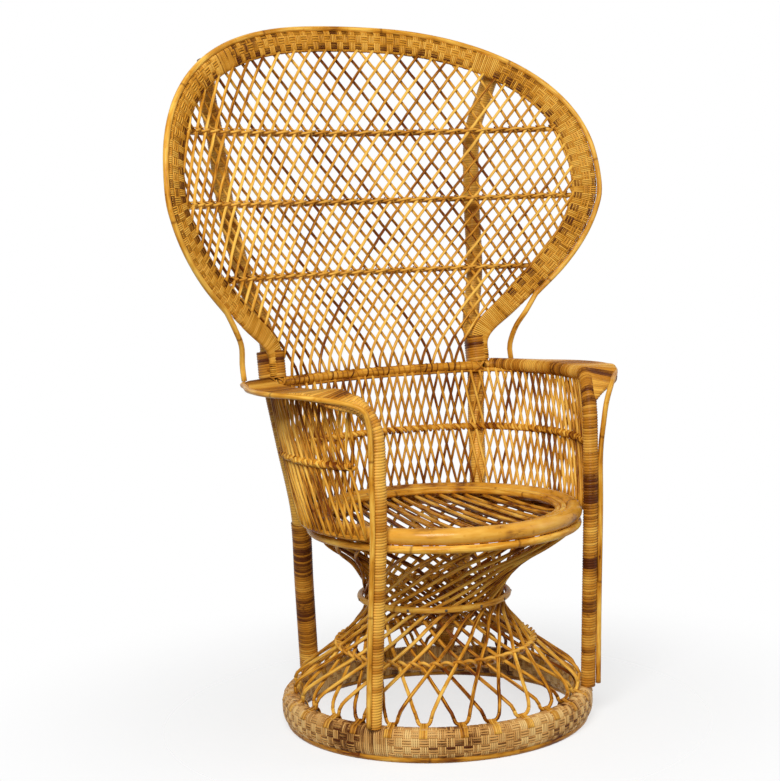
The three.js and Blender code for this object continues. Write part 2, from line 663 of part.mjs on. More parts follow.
// The cane loop at the neck goes round the border's end and the upright behind it.
const behindRail = Math.max(RAIL, ARM_POLE) / 2 + 2 * CLEARANCE + UPRIGHT / 2;
const neckHalfWidth = Math.max(HOOD_BORDER_WIDTH, UPRIGHT) / 2;
const neckDepth = behindRail + UPRIGHT / 2 + HOOD_BORDER_THICKNESS / 2;

// Lattice: two layers of slanted rods, each held by its own edge rod inside the border.
const latticeReach = RIM + HOOD_BORDER_WIDTH + 2 * CLEARANCE - LATTICE_TUCK + LATTICE_ROD / 2;
const latticeInset = insetOutline(latticeReach);
const latticeBottom = RAIL_HEIGHT + flatHalf(RAIL, RAIL_SIDES) + CLEARANCE + LATTICE_ROD / 2;
const neckRoom = NECK_EASE * neckHalfWidth + WRAP + 2 * CLEARANCE - HOOD_BORDER_WIDTH / 2;
for (const p of latticeInset) {
  if (p.y < neckLow + NECK_STRAIGHT + LATTICE_NECK_RISE) p.x -= Math.sign(p.x) * neckRoom;
}
latticeInset[0].y = latticeBottom;
latticeInset[latticeInset.length - 1].y = latticeBottom;
const latticeRight = latticeInset.slice(0, (latticeInset.length + 1) / 2);
const latticeTop = latticeRight[latticeRight.length - 1].y;

function latticeHalfWidth(z) {
  const i = latticeRight.findIndex((p, at) => at > 0 && p.y >= z);
  if (i < 0) return 0;
  const low = latticeRight[i - 1];
  const high = latticeRight[i];
  return mix(low.x, high.x, (z - low.y) / (high.y - low.y));
}

// Lowest place of a layer: the hood's lean tips the corners of the layers behind downwards.
const layerBottom = (behind) => latticeBottom + HOOD_LEAN * (behind + LATTICE_ROD / 2);

function latticeRod(railX, sign, behind) {
  const bottom = layerBottom(behind);
  const at = (z) => {
    const rise = (z - bottom) / (latticeTop - bottom);
    return railX * (1 + LATTICE_SPREAD * rise) + sign * LATTICE_SLANT * rise * (0.6 + 0.4 * rise);
  };
  const samples = 300;
  let run = null;
  let longest = [0, 0];
  for (let i = 0; i <= samples; i++) {
    const z = mix(bottom, latticeTop, i / samples);
    if (Math.abs(at(z)) > latticeHalfWidth(z)) {
      run = null;
      continue;
    }
    run ??= [z, z];
    run[1] = z;
    if (run[1] - run[0] > longest[1] - longest[0]) longest = run;
  }
  const [first, last] = longest;
  if (last - first < 4 * LATTICE_ROD) return null;
  const points = [];
  for (let i = 0; i <= LATTICE_STEPS; i++) {
    const z = mix(first, last, i / LATTICE_STEPS);
    points.push(onHood(at(z), z, behind));
  }
  return sweep(points, squareSection(LATTICE_ROD), (i) => hoodNormal(points[i]));
}

function latticeLayer(behind, sign) {
  const bottom = layerBottom(behind);
  const edge = latticeInset.map((p) => onHood(p.x, Math.max(p.y, bottom), behind));
  for (const share of [-0.5, 0, 0.5]) edge.push(onHood(share * NECK_X, bottom, behind));
  const pieces = [sweep(edge, squareSection(LATTICE_ROD), (i) => hoodNormal(edge[i]), true)];
  const most = Math.ceil((HOOD_HALF_WIDTH + LATTICE_SLANT) / LATTICE_PITCH);
  for (let k = -most; k <= most; k++) {
    const rod = latticeRod((k + 0.5) * LATTICE_PITCH, sign, behind);
    if (rod) pieces.push(rod);
  }
  return joined(pieces);
}
const layerOffset = (LATTICE_ROD + LATTICE_GAP) / 2;
place("hood_lattice_front", latticeLayer(-layerOffset, 1), GOLD, 0.45);
place("hood_lattice_back", latticeLayer(layerOffset, -1), HONEY, 0.5);

// Stays cross behind the lattice and end behind the border.
const stayBehind = layerOffset + LATTICE_ROD / 2 + STAY_GAP + flatHalf(STAY, STAY_SIDES);
const staySection = roundSection(STAY, STAY_SIDES);
for (const [name, z] of Object.entries(STAY_HEIGHTS)) {
  const half = latticeHalfWidth(z) + HOOD_BORDER_WIDTH / 2;
  const points = [];
  for (let i = 0; i <= STAY_STEPS; i++) points.push(onHood(mix(-half, half, i / STAY_STEPS), z, stayBehind));
  const stay = sweep(points, staySection, (i) => hoodNormal(points[i]));
  place(`hood_stay_${name}`, stay, HONEY, 0.4);
}

// Foot of the gallery round the seat ring
const galleryOffset = (GALLERY_ROD + GALLERY_GAP) / 2;
const ringFace = SEAT_RING_RADIUS + flatHalf(SEAT_RING, SEAT_RING_SIDES);
const galleryRadius = ringFace + GALLERY_FOOT_GAP + GALLERY_ROD / 2 + galleryOffset;
const galleryFace = galleryRadius + galleryOffset + GALLERY_ROD / 2;

// Uprights: from the top of the hood they bow out behind the lattice, come back to the rail, pass
// the seat close to the gallery and go on down to the base border
const rearFootZ = borderTop + footRoom(UPRIGHT, REAR_FOOT_TILT);
const rearFoot = onCircle(FOOT_RADIUS, REAR_FOOT_TURN, rearFootZ);
const railPass = onHood(NECK_X, RAIL_HEIGHT, behindRail);
const hipRadius = galleryFace + REAR_HIP_ROOM + UPRIGHT / 2;
const rearHip = onCircle(hipRadius, REAR_HIP_TURN, SEAT_HEIGHT - REAR_HIP_DROP, -SEAT_FORWARD);
const behindHood = ([aside, behind], z) => onHood(NECK_X + aside, z, behind);
const uprightPoints = [
  behindHood(UPRIGHT_AT_TOP, UPRIGHT_TOP),
  behindHood(UPRIGHT_AT_SHOULDER, UPRIGHT_SHOULDER),
  behindHood(UPRIGHT_AT_TOP_STAY, STAY_HEIGHTS.top),
  behindHood(UPRIGHT_AT_MIDDLE_STAY, STAY_HEIGHTS.middle),
  behindHood(UPRIGHT_AT_BOTTOM_STAY, STAY_HEIGHTS.bottom),
  onHood(NECK_X, RAIL_HEIGHT + UPRIGHT_LOW_RISE, behindRail + UPRIGHT_LOW_ROOM),
  onHood(NECK_X, RAIL_HEIGHT + UPRIGHT_NECK_RISE, behindRail),
  railPass,
  railPass.clone().lerp(rearHip, 0.45),
  rearHip,
  rearHip.clone().lerp(rearFoot, 0.45),
  rearFoot,
];
const uprightCurve = new THREE.CatmullRomCurve3(uprightPoints, false, "catmullrom", 0.5);

// Loop round the border's end and the upright at the neck.
function neckLoop(angle) {
  const blunt = (value) => Math.sign(value) * Math.abs(value) ** 0.5;
  const across = NECK_EASE * neckHalfWidth + CLEARANCE + WRAP / 2;
  const deep = (NECK_EASE * neckDepth) / 2 + CLEARANCE + WRAP / 2;
  return [across * blunt(Math.cos(angle)), deep * blunt(Math.sin(angle))];
}
const neckMiddle = neckDepth / 2 - HOOD_BORDER_THICKNESS / 2;
const neckAxis = new THREE.LineCurve3(
  onHood(NECK_X, neckLow + 2 * CLEARANCE, neckMiddle),
  onHood(NECK_X, neckLow + NECK_WRAP_RISE, neckMiddle),
);

// Pieces that come in pairs, made on the right and mirrored to the left
for (const [side, mirror] of [["left", -1], ["right", 1]]) {
  const turned = (curve) => {
    const flip = (p) => point(mirror * p.x, p.y, p.z);
    if (curve.isLineCurve3) return new THREE.LineCurve3(flip(curve.v1), flip(curve.v2));
    return new THREE.CatmullRomCurve3(curve.points.map(flip), false, "catmullrom", 0.5);
  };
  const arm = turned(armCurve);
  const edge = turned(edgeCurve);
  const upright = turned(uprightCurve);
  const pole = (path, steps, diameter, sides) =>
    sweep(path.getPoints(steps), roundSection(diameter, sides), () => point(0.6, 0.75, 0.28));
  place(`${side}_arm_pole`, pole(arm, ARM_STEPS, ARM_POLE, 6), HONEY, 0.45);
  place(`${side}_edge_rod`, pole(edge, ARM_STEPS, EDGE_ROD, 6), GOLD, 0.35);
  place(`${side}_arm_deck`, armDeck(mirror), BROWN, 0.6);
  place(`${side}_upright`, pole(upright, UPRIGHT_STEPS, UPRIGHT, 8), DARK, 0.5);

  const legTop = shareAtHeight(arm, LEG_WRAP_TOP, 0.4, 1);
  const legLow = shareAtHeight(arm, WRAP_FOOT, 0.4, 1);
  const legLoop = roundLoop(wrapInside + WRAP / 2);
  const legWrap = `${side}_leg_wrap`;
  const legTurns = [LEG_WRAP_TURNS, WRAP_SIDES];
  place(legWrap, winding(legWrap, arm, [legTop, legLow], legTurns, legLoop), BROWN, 0.6);

  const rearTop = shareAtHeight(upright, REAR_WRAP_TOP, 0.5, 1);
  const rearLow = shareAtHeight(upright, WRAP_FOOT, 0.5, 1);
  const rearLoop = roundLoop((UPRIGHT / 2 + CLEARANCE) / Math.cos(Math.PI / WRAP_SIDES) + WRAP / 2);
  const rearWrap = `${side}_rear_leg_wrap`;
  const rearTurns = [REAR_WRAP_TURNS, WRAP_SIDES];
  place(rearWrap, winding(rearWrap, upright, [rearTop, rearLow], rearTurns, rearLoop), DARK, 0.6);

  const neckWrap = `${side}_neck_binding`;
  const neck = turned(neckAxis);
  const neckTurns = [NECK_WRAP_TURNS, NECK_WRAP_SIDES];
  const alongHood = point(1, -2 * HOOD_CURL * NECK_X * mirror, 0).normalize();
  place(neckWrap, winding(neckWrap, neck, [0, 1], neckTurns, neckLoop, alongHood), BROWN, 0.6);
}

// Gallery: two layers of straight rods from the seat ring up to the arms and the back rail
const galleryTopZ = RAIL_HEIGHT - RAIL / 2 - 2 * CLEARANCE - GALLERY_ROD / 2;
const galleryFootZ = SEAT_HEIGHT - SEAT_RING / 8;
const halfPlan = [ARM_NOSE, ARM_FRONT, ARM_SIDE, ARM_CORNER].map(([x, y]) => point(x, y, galleryTopZ));
for (const share of [1, 0.5]) halfPlan.push(onHood(share * NECK_X, galleryTopZ));
const galleryPlan = [...halfPlan, onHood(0, galleryTopZ), ...halfPlan.map(mirrored).reverse()];
const galleryTop = new THREE.CatmullRomCurve3(galleryPlan, false, "catmullrom", 0.5);

// A point of the gallery: share along it from the right leg, share of its height, and how far outside.
function onGallery(along, height, outside) {
  const degrees = mix(GALLERY_START, 360 - GALLERY_START, along);
  const foot = onCircle(galleryRadius + outside, degrees, galleryFootZ, seatY);
  const tangent = galleryTop.getTangentAt(along);
  const head = galleryTop.getPointAt(along).add(point(tangent.y, -tangent.x, 0).multiplyScalar(outside));
  return foot.lerp(head, height);
}

function galleryLayer(outside, lean) {
  const section = squareSection(GALLERY_ROD);
  const pieces = [];
  for (const height of [0, 1]) {
    const points = [];
    for (let i = 0; i <= GALLERY_STEPS; i++) points.push(onGallery(i / GALLERY_STEPS, height, outside));
    pieces.push(sweep(points, section, () => point(0, 0, 1)));
  }
  for (let k = 0; k <= GALLERY_COUNT; k++) {
    const from = (k / GALLERY_COUNT) * (1 - GALLERY_LEAN) + (lean < 0 ? GALLERY_LEAN : 0);
    const ends = [onGallery(from, 0, outside), onGallery(from + lean * GALLERY_LEAN, 1, outside)];
    pieces.push(sweep(ends, section, () => point(ends[0].x, ends[0].y - seatY, 0)));
  }
  return joined(pieces);
}
place("gallery_rods_inner", galleryLayer(-galleryOffset, 1), GOLD, 0.45);
place("gallery_rods_outer", galleryLayer(galleryOffset, -1), HONEY, 0.5);

const galleryHoopInside = galleryOffset + GALLERY_ROD / 2 + GALLERY_SAG + CLEARANCE + GALLERY_HOOP / 2;
const galleryHoopPoints = [];
for (let i = 0; i <= GALLERY_STEPS; i++) {
  const along = mix(0.01, 0.99, i / GALLERY_STEPS);
  galleryHoopPoints.push(onGallery(along, GALLERY_HOOP_SHARE, -galleryHoopInside));
}
const galleryHoop = sweep(galleryHoopPoints, squareSection(GALLERY_HOOP), () => point(0, 0, 1));
place("gallery_mid_hoop", galleryHoop, BROWN, 0.5);

// The part's origin is under the middle of its box, on the floor.
const box = new THREE.Box3().setFromObject(chair);
chair.position.y = -(box.min.y + box.max.y) / 2;
const part = new THREE.Group();
part.add(chair);

export default part;
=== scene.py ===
"""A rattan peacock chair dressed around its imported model: bent rods, wound cane, woven borders."""

import math

import bpy
import numpy as np
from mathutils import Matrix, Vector


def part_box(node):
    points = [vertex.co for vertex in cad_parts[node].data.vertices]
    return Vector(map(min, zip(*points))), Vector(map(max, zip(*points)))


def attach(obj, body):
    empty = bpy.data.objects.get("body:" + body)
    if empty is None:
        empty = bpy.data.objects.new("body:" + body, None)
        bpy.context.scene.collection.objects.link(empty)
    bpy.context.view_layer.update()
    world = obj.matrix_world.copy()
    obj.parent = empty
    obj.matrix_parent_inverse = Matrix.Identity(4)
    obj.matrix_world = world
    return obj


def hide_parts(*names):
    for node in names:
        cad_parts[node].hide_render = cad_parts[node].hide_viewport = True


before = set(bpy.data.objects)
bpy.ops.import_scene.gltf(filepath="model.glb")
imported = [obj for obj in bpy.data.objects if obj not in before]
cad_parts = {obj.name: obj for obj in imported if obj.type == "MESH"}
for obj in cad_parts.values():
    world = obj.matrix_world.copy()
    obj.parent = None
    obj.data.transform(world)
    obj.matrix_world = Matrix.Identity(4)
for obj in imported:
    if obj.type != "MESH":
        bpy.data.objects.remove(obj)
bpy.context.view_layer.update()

bl_info = {
    "name": "Rattan Peacock Chair",
    "version": (1, 0, 0),
    "blender": (4, 5, 0),
    "location": "View3D > Sidebar > Chair",
    "description": "Dresses the packed peacock chair with rods, wound cane and woven borders",
    "category": "Object",
}

BODY = "root"
HOOP_LOW, HOOP_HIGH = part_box("floor_hoop")
BASE_Y = (HOOP_LOW.y + HOOP_HIGH.y) / 2
LAY = "lay"  # corner data of each mesh: share of the way round, metres along, and tone or turn


def length(name, text, default):
    return bpy.props.FloatProperty(
        name=name, description=text, default=default, min=0.0, unit="LENGTH", precision=4
    )


def share(name, text, default):
    return bpy.props.FloatProperty(name=name, description=text, default=default, subtype="FACTOR")


def count(name, text, default):
    return bpy.props.IntProperty(name=name, description=text, default=default, min=1)


def colour(name, text, default):
    return bpy.props.FloatVectorProperty(
        name=name, description=text, default=default, size=3, min=0.0, max=1.0, subtype="COLOR"
    )


class ChairColours(bpy.types.PropertyGroup):
    """Colours of the rattan, the cane and the stage."""

    pale: colour("Pale rattan", "Lightest tone of the varnished rods", (0.9, 0.53, 0.09))
    gold: colour("Gold rattan", "Main tone of the varnished rods", (0.6, 0.25, 0.018))
    brown: colour("Brown rattan", "Darkest tone of the varnished rods", (0.16, 0.036, 0.002))
    bamboo_pale: colour("Pale bamboo", "Lightest tone of the thick seat ring", (0.87, 0.5, 0.09))
    bamboo: colour("Bamboo", "Main tone of the thick seat ring", (0.7, 0.32, 0.03))
    cane_pale: colour("Pale cane", "Lightest tone of the wound cane", (0.82, 0.44, 0.07))
    cane: colour("Cane", "Main tone of the wound cane", (0.5, 0.19, 0.014))
    cane_dark: colour("Dark cane", "Darkest tone of the wound cane", (0.09, 0.02, 0.002))
    worn_pale: colour("Pale worn cane", "Lightest tone of the base border", (0.88, 0.58, 0.22))
    worn: colour("Worn cane", "Main tone of the base border", (0.62, 0.31, 0.085))
    # painted shade: the core is near black so that it shows in the gaps of the weave as the shade
    # deep inside it
    core: colour("Core", "Shaded core inside the weave", (0.045, 0.014, 0.004))
    nail: colour("Nail", "Dulled steel of the nails", (0.06, 0.05, 0.045))
    floor: colour("Floor", "Pale floor under the chair", (0.97, 0.97, 0.97))


class BaseSizes(bpy.types.PropertyGroup):
    """Sizes of the hourglass base."""

    hoop_radius: length("Floor hoop radius", "Middle of the floor hoop", 0.314)
    hoop: length("Floor hoop", "Diameter of the floor hoop", 0.022)
    border_radius: length("Border radius", "Middle of the woven border", 0.312)
    border_width: length("Border width", "Across the border, with the weave", 0.042)
    border_height: length("Border height", "Height of the border, with the weave", 0.05)
    rod: length("Rod", "Diameter of the hourglass rods", 0.0078)
    rods: count("Rods", "Bent rods round the base, each with two arms", 28)
    foot_radius: length("Foot radius", "Circle of the loops at the border", 0.306)
    loop_width: length("Loop width", "Width of a loop at the border", 0.03)
    skirt_radius: length("Skirt radius", "Rods at the skirt hoop", 0.209)
    skirt_height: length("Skirt height", "Skirt hoop above the floor", 0.168)
    skirt_hoop: length("Skirt hoop", "Diameter of the skirt hoop", 0.01)
    waist_radius: length("Waist radius", "Rods at the waist hoop", 0.146)
    waist_height: length("Waist height", "Waist hoop above the floor", 0.268)
    waist_hoop: length("Waist hoop", "Diameter of the waist hoop", 0.0135)
    nails: count("Nails", "Nails round the waist hoop", 13)


class SeatSizes(bpy.types.PropertyGroup):
    """Sizes of the round seat."""

    height: length("Seat height", "Middle of the thick ring", 0.452)
    forward: length("Forward", "Middle of the seat ahead of the base", 0.05)
    ring_radius: length("Ring radius", "Middle of the thick ring", 0.274)
    ring: length("Ring", "Diameter of the thick ring", 0.034)
    under_radius: length("Under hoop radius", "Middle of the hoop under the ring", 0.281)
    under: length("Under hoop", "Diameter of the hoop under the ring", 0.016)
    inner: length("Inner hoop", "Diameter of the hoop inside the ring", 0.013)
    rod: length("Seat rod", "Diameter of the seat rods", 0.0085)
    pitch: length("Seat rod pitch", "Distance between seat rods of one layer", 0.031)
    fan: share("Seat rod fan", "Sideways run of the outermost left rod for its depth", 0.3)


class ArmSizes(bpy.types.PropertyGroup):
    """Sizes of the arms, the legs and the gallery."""

    rail_height: length("Rail height", "Middle of the back rail", 0.727)
    rail_back: length("Rail back", "Back rail behind the middle of the base", 0.245)
    rail: length("Rail", "Diameter of the back rail", 0.02)
    neck: length("Neck", "From the middle to a neck of the hood", 0.256)
    pole: length("Arm pole", "Diameter of the arm poles", 0.024)
    edge: length("Edge rod", "Diameter of the bare edge rods", 0.011)
    edge_end: length("Edge rod end", "Foot of the edge rod above the floor", 0.075)
    wrap: length("Wrap", "Thickness of the wound cane", 0.0022)
    wrap_pitch: length("Wrap pitch", "Width of a turn of cane", 0.0056)
    gallery_rod: length("Gallery rod", "Diameter of the gallery rods", 0.0062)
    gallery_count: count("Gallery rods", "Rods in each layer of the gallery", 66)
    gallery_lean: share("Gallery lean", "Sideways lean as a share of the gallery", 0.052)


class HoodSizes(bpy.types.PropertyGroup):
    """Sizes of the hood."""

    lean: share("Lean", "Backward slope of the hood", 0.135)
    curl: share("Curl", "How strongly the wings come forward", 0.72)
    half_width: length("Half width", "From the middle to the rim", 0.531)
    middle: length("Middle", "Height of the widest place", 1.132)
    top: length("Top", "Height of the top", 1.5)
    rim: length("Rim", "Diameter of the rim rod", 0.012)
    border_width: length("Border width", "Width of the woven border", 0.044)
    border_thickness: length("Border thickness", "Thickness of the woven border", 0.012)
    rod: length("Lattice rod", "Diameter of the lattice rods", 0.0068)
    pitch: length("Lattice pitch", "Distance between lattice rods at the rail", 0.0265)
    spread: share("Lattice spread", "Growth of the pitch from the rail to the top", 0.5)
    stay: length("Stay", "Diameter of the stays", 0.0115)
    upright: length("Upright", "Diameter of the uprights", 0.036)


class StageSettings(bpy.types.PropertyGroup):
    """Floor, lights and camera."""

    lens: bpy.props.FloatProperty(
        name="Lens", description="Focal length for a 36 mm frame", default=76.836
    )
    key: bpy.props.FloatProperty(
        name="Key light", description="Power of the main soft light", default=192.0, unit="POWER"
    )
    fill: bpy.props.FloatProperty(
        name="Fill light", description="Power of the other soft light", default=30.0, unit="POWER"
    )
    sky: bpy.props.FloatProperty(
        name="Sky", description="Strength of the even light all round", default=0.2
    )


class ChairSettings(bpy.types.PropertyGroup):
    """Everything that can be set on the chair."""

    colours: bpy.props.PointerProperty(type=ChairColours)
    base: bpy.props.PointerProperty(type=BaseSizes)
    seat: bpy.props.PointerProperty(type=SeatSizes)
    arms: bpy.props.PointerProperty(type=ArmSizes)
    hood: bpy.props.PointerProperty(type=HoodSizes)
    stage: bpy.props.PointerProperty(type=StageSettings)


def settings():
    return bpy.context.scene.rattan_chair


# Curves


def point(x, y, z):
    return np.array((x, y, z), float)


UP = point(0, 0, 1)


def mix(a, b, s):
    return a + (b - a) * s


def unit(vectors):
    return vectors / np.maximum(np.linalg.norm(vectors, axis=-1, keepdims=True), 1e-12)


def smooth_step(low, high, value):
    s = np.clip((value - low) / (high - low), 0, 1)
    return s * s * (3 - 2 * s)


def spline(points, per_span):
    """Smooth curve through the points, each span in equally many steps."""
    p = np.array(points, float)
    before = np.vstack([2 * p[0] - p[1], p[:-1]])
    after = np.vstack([p[1:], 2 * p[-1] - p[-2]])
    slope = (after - before) / 2
    s = np.arange(per_span)[:, None] / per_span
    rows = []
    for i in range(len(p) - 1):
        rows.append(
            (2 * s**3 - 3 * s**2 + 1) * p[i]
            + (s**3 - 2 * s**2 + s) * slope[i]
            + (3 * s**2 - 2 * s**3) * p[i + 1]
            + (s**3 - s**2) * slope[i + 1]
        )
    return np.vstack([*rows, p[-1:]])


def distance_along(path):
    return np.concatenate([[0], np.cumsum(np.linalg.norm(np.diff(path, axis=0), axis=1))])


def even(path, step):
    """The path in equal steps of about the given length."""
    along = distance_along(path)
    steps = max(2, int(round(along[-1] / step)))
    at = np.linspace(0, along[-1], steps + 1)
    return np.stack([np.interp(at, along, path[:, k]) for k in range(path.shape[1])], 1)


def on_circle(radius, degrees, z, middle_y=0.0):
    a = np.radians(degrees)
    x = radius * np.sin(a)
    y = middle_y - radius * np.cos(a)
    return np.stack(np.broadcast_arrays(x, y, np.asarray(z, float)), -1)


def mirrored(path):
    return path * np.array((-1.0, 1.0, 1.0))


def tangents(path, closed=False):
    if closed:
        return unit(np.roll(path, -1, 0) - np.roll(path, 1, 0))
    return unit(np.gradient(path, axis=0))


def rolled_axes(path, closed=False, toward=None):
    """Tangent and two cross axes at each point, turned little or kept toward a direction."""
    t = tangents(path, closed)
    if toward is not None:
        ref = np.broadcast_to(toward, t.shape)
        first = unit(ref - (ref * t).sum(1, keepdims=True) * t)
        return t, first, np.cross(t, first)
    first = np.empty_like(t)
    axis = np.eye(3)[np.argmin(np.abs(t[0]))]
    for i in range(len(t)):
        axis = axis - axis.dot(t[i]) * t[i]
        axis = axis / np.linalg.norm(axis)
        first[i] = axis
    return t, first, np.cross(t, first)


# Meshes

FIRST_TURN = 50.0  # number of the first turn of a winding, so that none is below zero
CANE_ROUNDING = 0.45  # a lower number makes the turns flatter on top
CANE_STEPS = 5  # steps along a winding in one turn of cane
POLE_SIDES = 16


class Weaver:
    """Collects the strands of one piece and makes its mesh."""

    def __init__(self):
        self.points = []
        self.quads = []
        self.quad_lay = []
        self.ends = []
        self.end_lay = []
        self.size = 0

    def grid(self, points, around, along, tone, closed_rows=False):
        """A skin through rows of points; each row is a closed ring that runs round the path."""
        rows, sides, _ = points.shape
        index = self.size + np.arange(rows * sides).reshape(rows, sides)
        self.points.append(points.reshape(-1, 3))
        self.size += rows * sides
        here = np.arange(rows if closed_rows else rows - 1)
        after = (here + 1) % rows
        j = np.arange(sides)
        k = (j + 1) % sides
        i, j = np.meshgrid(here, j, indexing="ij")
        n, k = np.meshgrid(after, k, indexing="ij")
        quads = np.stack([index[i, j], index[i, k], index[n, k], index[n, j]], -1)
        self.quads.append(quads.reshape(-1, 4))
        along = np.asarray(along, float)
        ahead = np.append(along, 2 * along[-1] - along[-2])
        tone = np.broadcast_to(np.asarray(tone, float), (rows + 1, sides + 1))
        corner = [(i, j), (i, j + 1), (i + 1, j + 1), (i + 1, j)]
        lay = [np.stack([around[b], ahead[a], tone[a, b]], -1) for a, b in corner]
        self.quad_lay.append(np.stack(lay, 2).reshape(-1, 3))
        if not closed_rows:
            for row, order in ((0, -1), (rows - 1, 1)):
                self.ends.append(index[row][::order].tolist())
                end = np.array([[0.5, along[row], tone[row, 0]]])
                self.end_lay.append(np.repeat(end, sides, 0))

    def skin(self, path, axes, ring, along, tone, closed=False):
        """A closed outline, given as steps on two axes, carried along a path."""
        first, second = axes
        sides = ring.shape[-2]
        points = path[:, None] + ring[..., :1] * first[:, None] + ring[..., 1:] * second[:, None]
        self.grid(points, np.arange(sides + 1) / sides, along, tone, closed)

    def tube(self, path, radius, sides, tone, closed=False, toward=None):
        """A round rod along a path."""
        _, first, second = rolled_axes(path, closed, toward)
        radius = np.broadcast_to(np.asarray(radius, float), len(path))[:, None, None]
        ring = radius * round_section(1.0, sides)
        self.skin(path, (first, second), ring, distance_along(path), tone, closed)

    def hoop(self, path, radius, sides, tone, middle_y=0.0):
        """A rod bent into a level ring."""
        self.tube(path, radius, sides, tone, True, outward_from(path, middle_y))

    def lash(self, middle, axes, halves, slant, steps, cane, tone):
        """A closed turn of cane round two axes; cane is its width and thickness, slant leans it."""
        turn = np.linspace(0, 2 * np.pi, steps, endpoint=False)[:, None]
        across, deep = np.cos(turn) * axes[0], np.sin(turn) * axes[1]
        ring = middle + halves[0] * across + halves[1] * deep + np.cos(turn) * slant
        self.strap(ring, across + deep, *cane, tone, True)

    def strap(self, path, face, width, thickness, tone, closed=False):
        """A flat strip of cane; face is the direction that its broad side looks in."""
        t = tangents(path, closed)
        face = unit(face - (face * t).sum(1, keepdims=True) * t)
        side = np.cross(t, face)
        corners = [(0.5, -0.5), (0.5, 0.5), (-0.5, 0.5), (-0.5, -0.5)]
        ring = [thickness * a * face + width * b * side for a, b in corners]
        points = path[:, None] + np.stack(ring, 1)
        self.grid(points, np.arange(5) / 4, distance_along(path), tone, closed)

    def wound(self, path, section, pitch, depth, axes=None, twist=1.0):
        """Close-wound cane: section is the ring of points under it, depth the bulge of the cane."""
        if axes is None:
            axes = rolled_axes(path)[1:]
        sides = section.shape[-2]
        ring = np.broadcast_to(section, (len(path), sides, 2))
        along = distance_along(path)
        turn = along[:, None] / pitch + FIRST_TURN - twist * np.arange(sides + 1) / sides
        part = turn - np.floor(turn)
        bulge = depth * (4 * part * (1 - part)) ** CANE_ROUNDING
        ring = ring + ring_normal(ring) * bulge[:, :sides, None]
        self.skin(path, axes, ring, along, np.vstack([turn, turn[-1:]]))

    def object(self, name, material):
        mesh = bpy.data.meshes.new(name)
        points = np.vstack(self.points) + point(0, BASE_Y, 0)
        faces = np.vstack(self.quads).tolist() + self.ends
        mesh.from_pydata(points.tolist(), [], faces)
        lay = np.vstack(self.quad_lay + self.end_lay)
        data = mesh.attributes.new(LAY, "FLOAT_VECTOR", "CORNER")
        data.data.foreach_set("vector", lay.astype(np.float32).ravel())
        mesh.shade_smooth()
        mesh.materials.append(material)
        made = bpy.data.objects.new(name, mesh)
        bpy.context.scene.collection.objects.link(made)
        return made


def settle(piece, slot, *nodes):
    """Ties a piece to the chair's body and hides the solids that it stands for."""
    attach(piece, BODY)
    if nodes:
        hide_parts(*nodes)


def wound_pole(name, line, radius, depth, finish, slot, *nodes):
    """A round pole close-wound with cane along its middle line."""
    pitch = settings().arms.wrap_pitch
    pole = Weaver()
    pole.wound(even(line, pitch / CANE_STEPS), round_section(radius, POLE_SIDES), pitch, depth)
    settle(pole.object(name, finish), slot, *nodes)


def ring_path(radius, z, middle_y=0.0, steps=96):
    return on_circle(radius, -np.arange(steps) * 360 / steps, z, middle_y)


def outward_from(path, middle_y=0.0):
    return unit((path - point(0, middle_y, 0)) * point(1, 1, 0))


def round_section(radius, sides):
    a = np.arange(sides) * 2 * np.pi / sides
    return radius * np.stack([np.cos(a), np.sin(a)], 1)


def blunt_section(half_a, half_b, sides, power=0.5):
    """Rounded box of equally spaced points."""
    a = np.linspace(0, 2 * np.pi, 721)
    x = half_a * np.sign(np.cos(a)) * np.abs(np.cos(a)) ** power
    y = half_b * np.sign(np.sin(a)) * np.abs(np.sin(a)) ** power
    loop = np.stack([x, y], 1)
    return even(loop, distance_along(loop)[-1] / sides)[:sides]


def ring_normal(ring):
    """Outward direction at each point of a closed outline, or of one outline in each row."""
    turn = np.roll(ring, -1, -2) - np.roll(ring, 1, -2)
    return unit(np.stack([turn[..., 1], -turn[..., 0]], -1))


# Materials

WHITE = (1, 1, 1, 1)
SPECULAR = 0.07  # low, so that the white world doesn't wash out the rattan
KNUCKLE_SHADE = (0.3, 0.2, 0.14)
# painted shade in the grooves between turns of wound cane
GROOVE_PAINTED_SHADE = (0.16, 0.1, 0.07)
KNUCKLE_SHIFT = 7.3  # moves the ring marks of rods of different tone apart
ROD_KNUCKLES = (0.31, 0.0045)  # distance and width of the ring marks on bare rods
RING_KNUCKLES = (0.37, 0.009)  # the same on the thick ring of the seat


def add_node(tree, kind, **values):
    made = tree.nodes.new(kind)
    for key, value in values.items():
        setattr(made, key, value)
    return made


def new_group(name, inputs, outputs):
    """A node group whose inputs have these defaults and whose outputs are of these kinds."""
    group = bpy.data.node_groups.new(name, "ShaderNodeTree")
    for label, default in inputs.items():
        kind = "NodeSocketFloat" if isinstance(default, float) else "NodeSocketColor"
        socket = group.interface.new_socket(name=label, in_out="INPUT", socket_type=kind)
        socket.default_value = default
    for label, kind in outputs.items():
        group.interface.new_socket(name=label, in_out="OUTPUT", socket_type=f"NodeSocket{kind}")
    given = add_node(group, "NodeGroupInput").outputs
    out = add_node(group, "NodeGroupOutput").inputs
    return group, given, out


def math_node(tree, operation, a, b=None, c=None, clamp=False):
    made = add_node(tree, "ShaderNodeMath", operation=operation, use_clamp=clamp)
    for socket, value in zip(made.inputs, (a, b, c)):
        if value is None:
            continue
        if isinstance(value, (int, float)):
            socket.default_value = value
        else:
            tree.links.new(value, socket)
    return made.outputs[0]


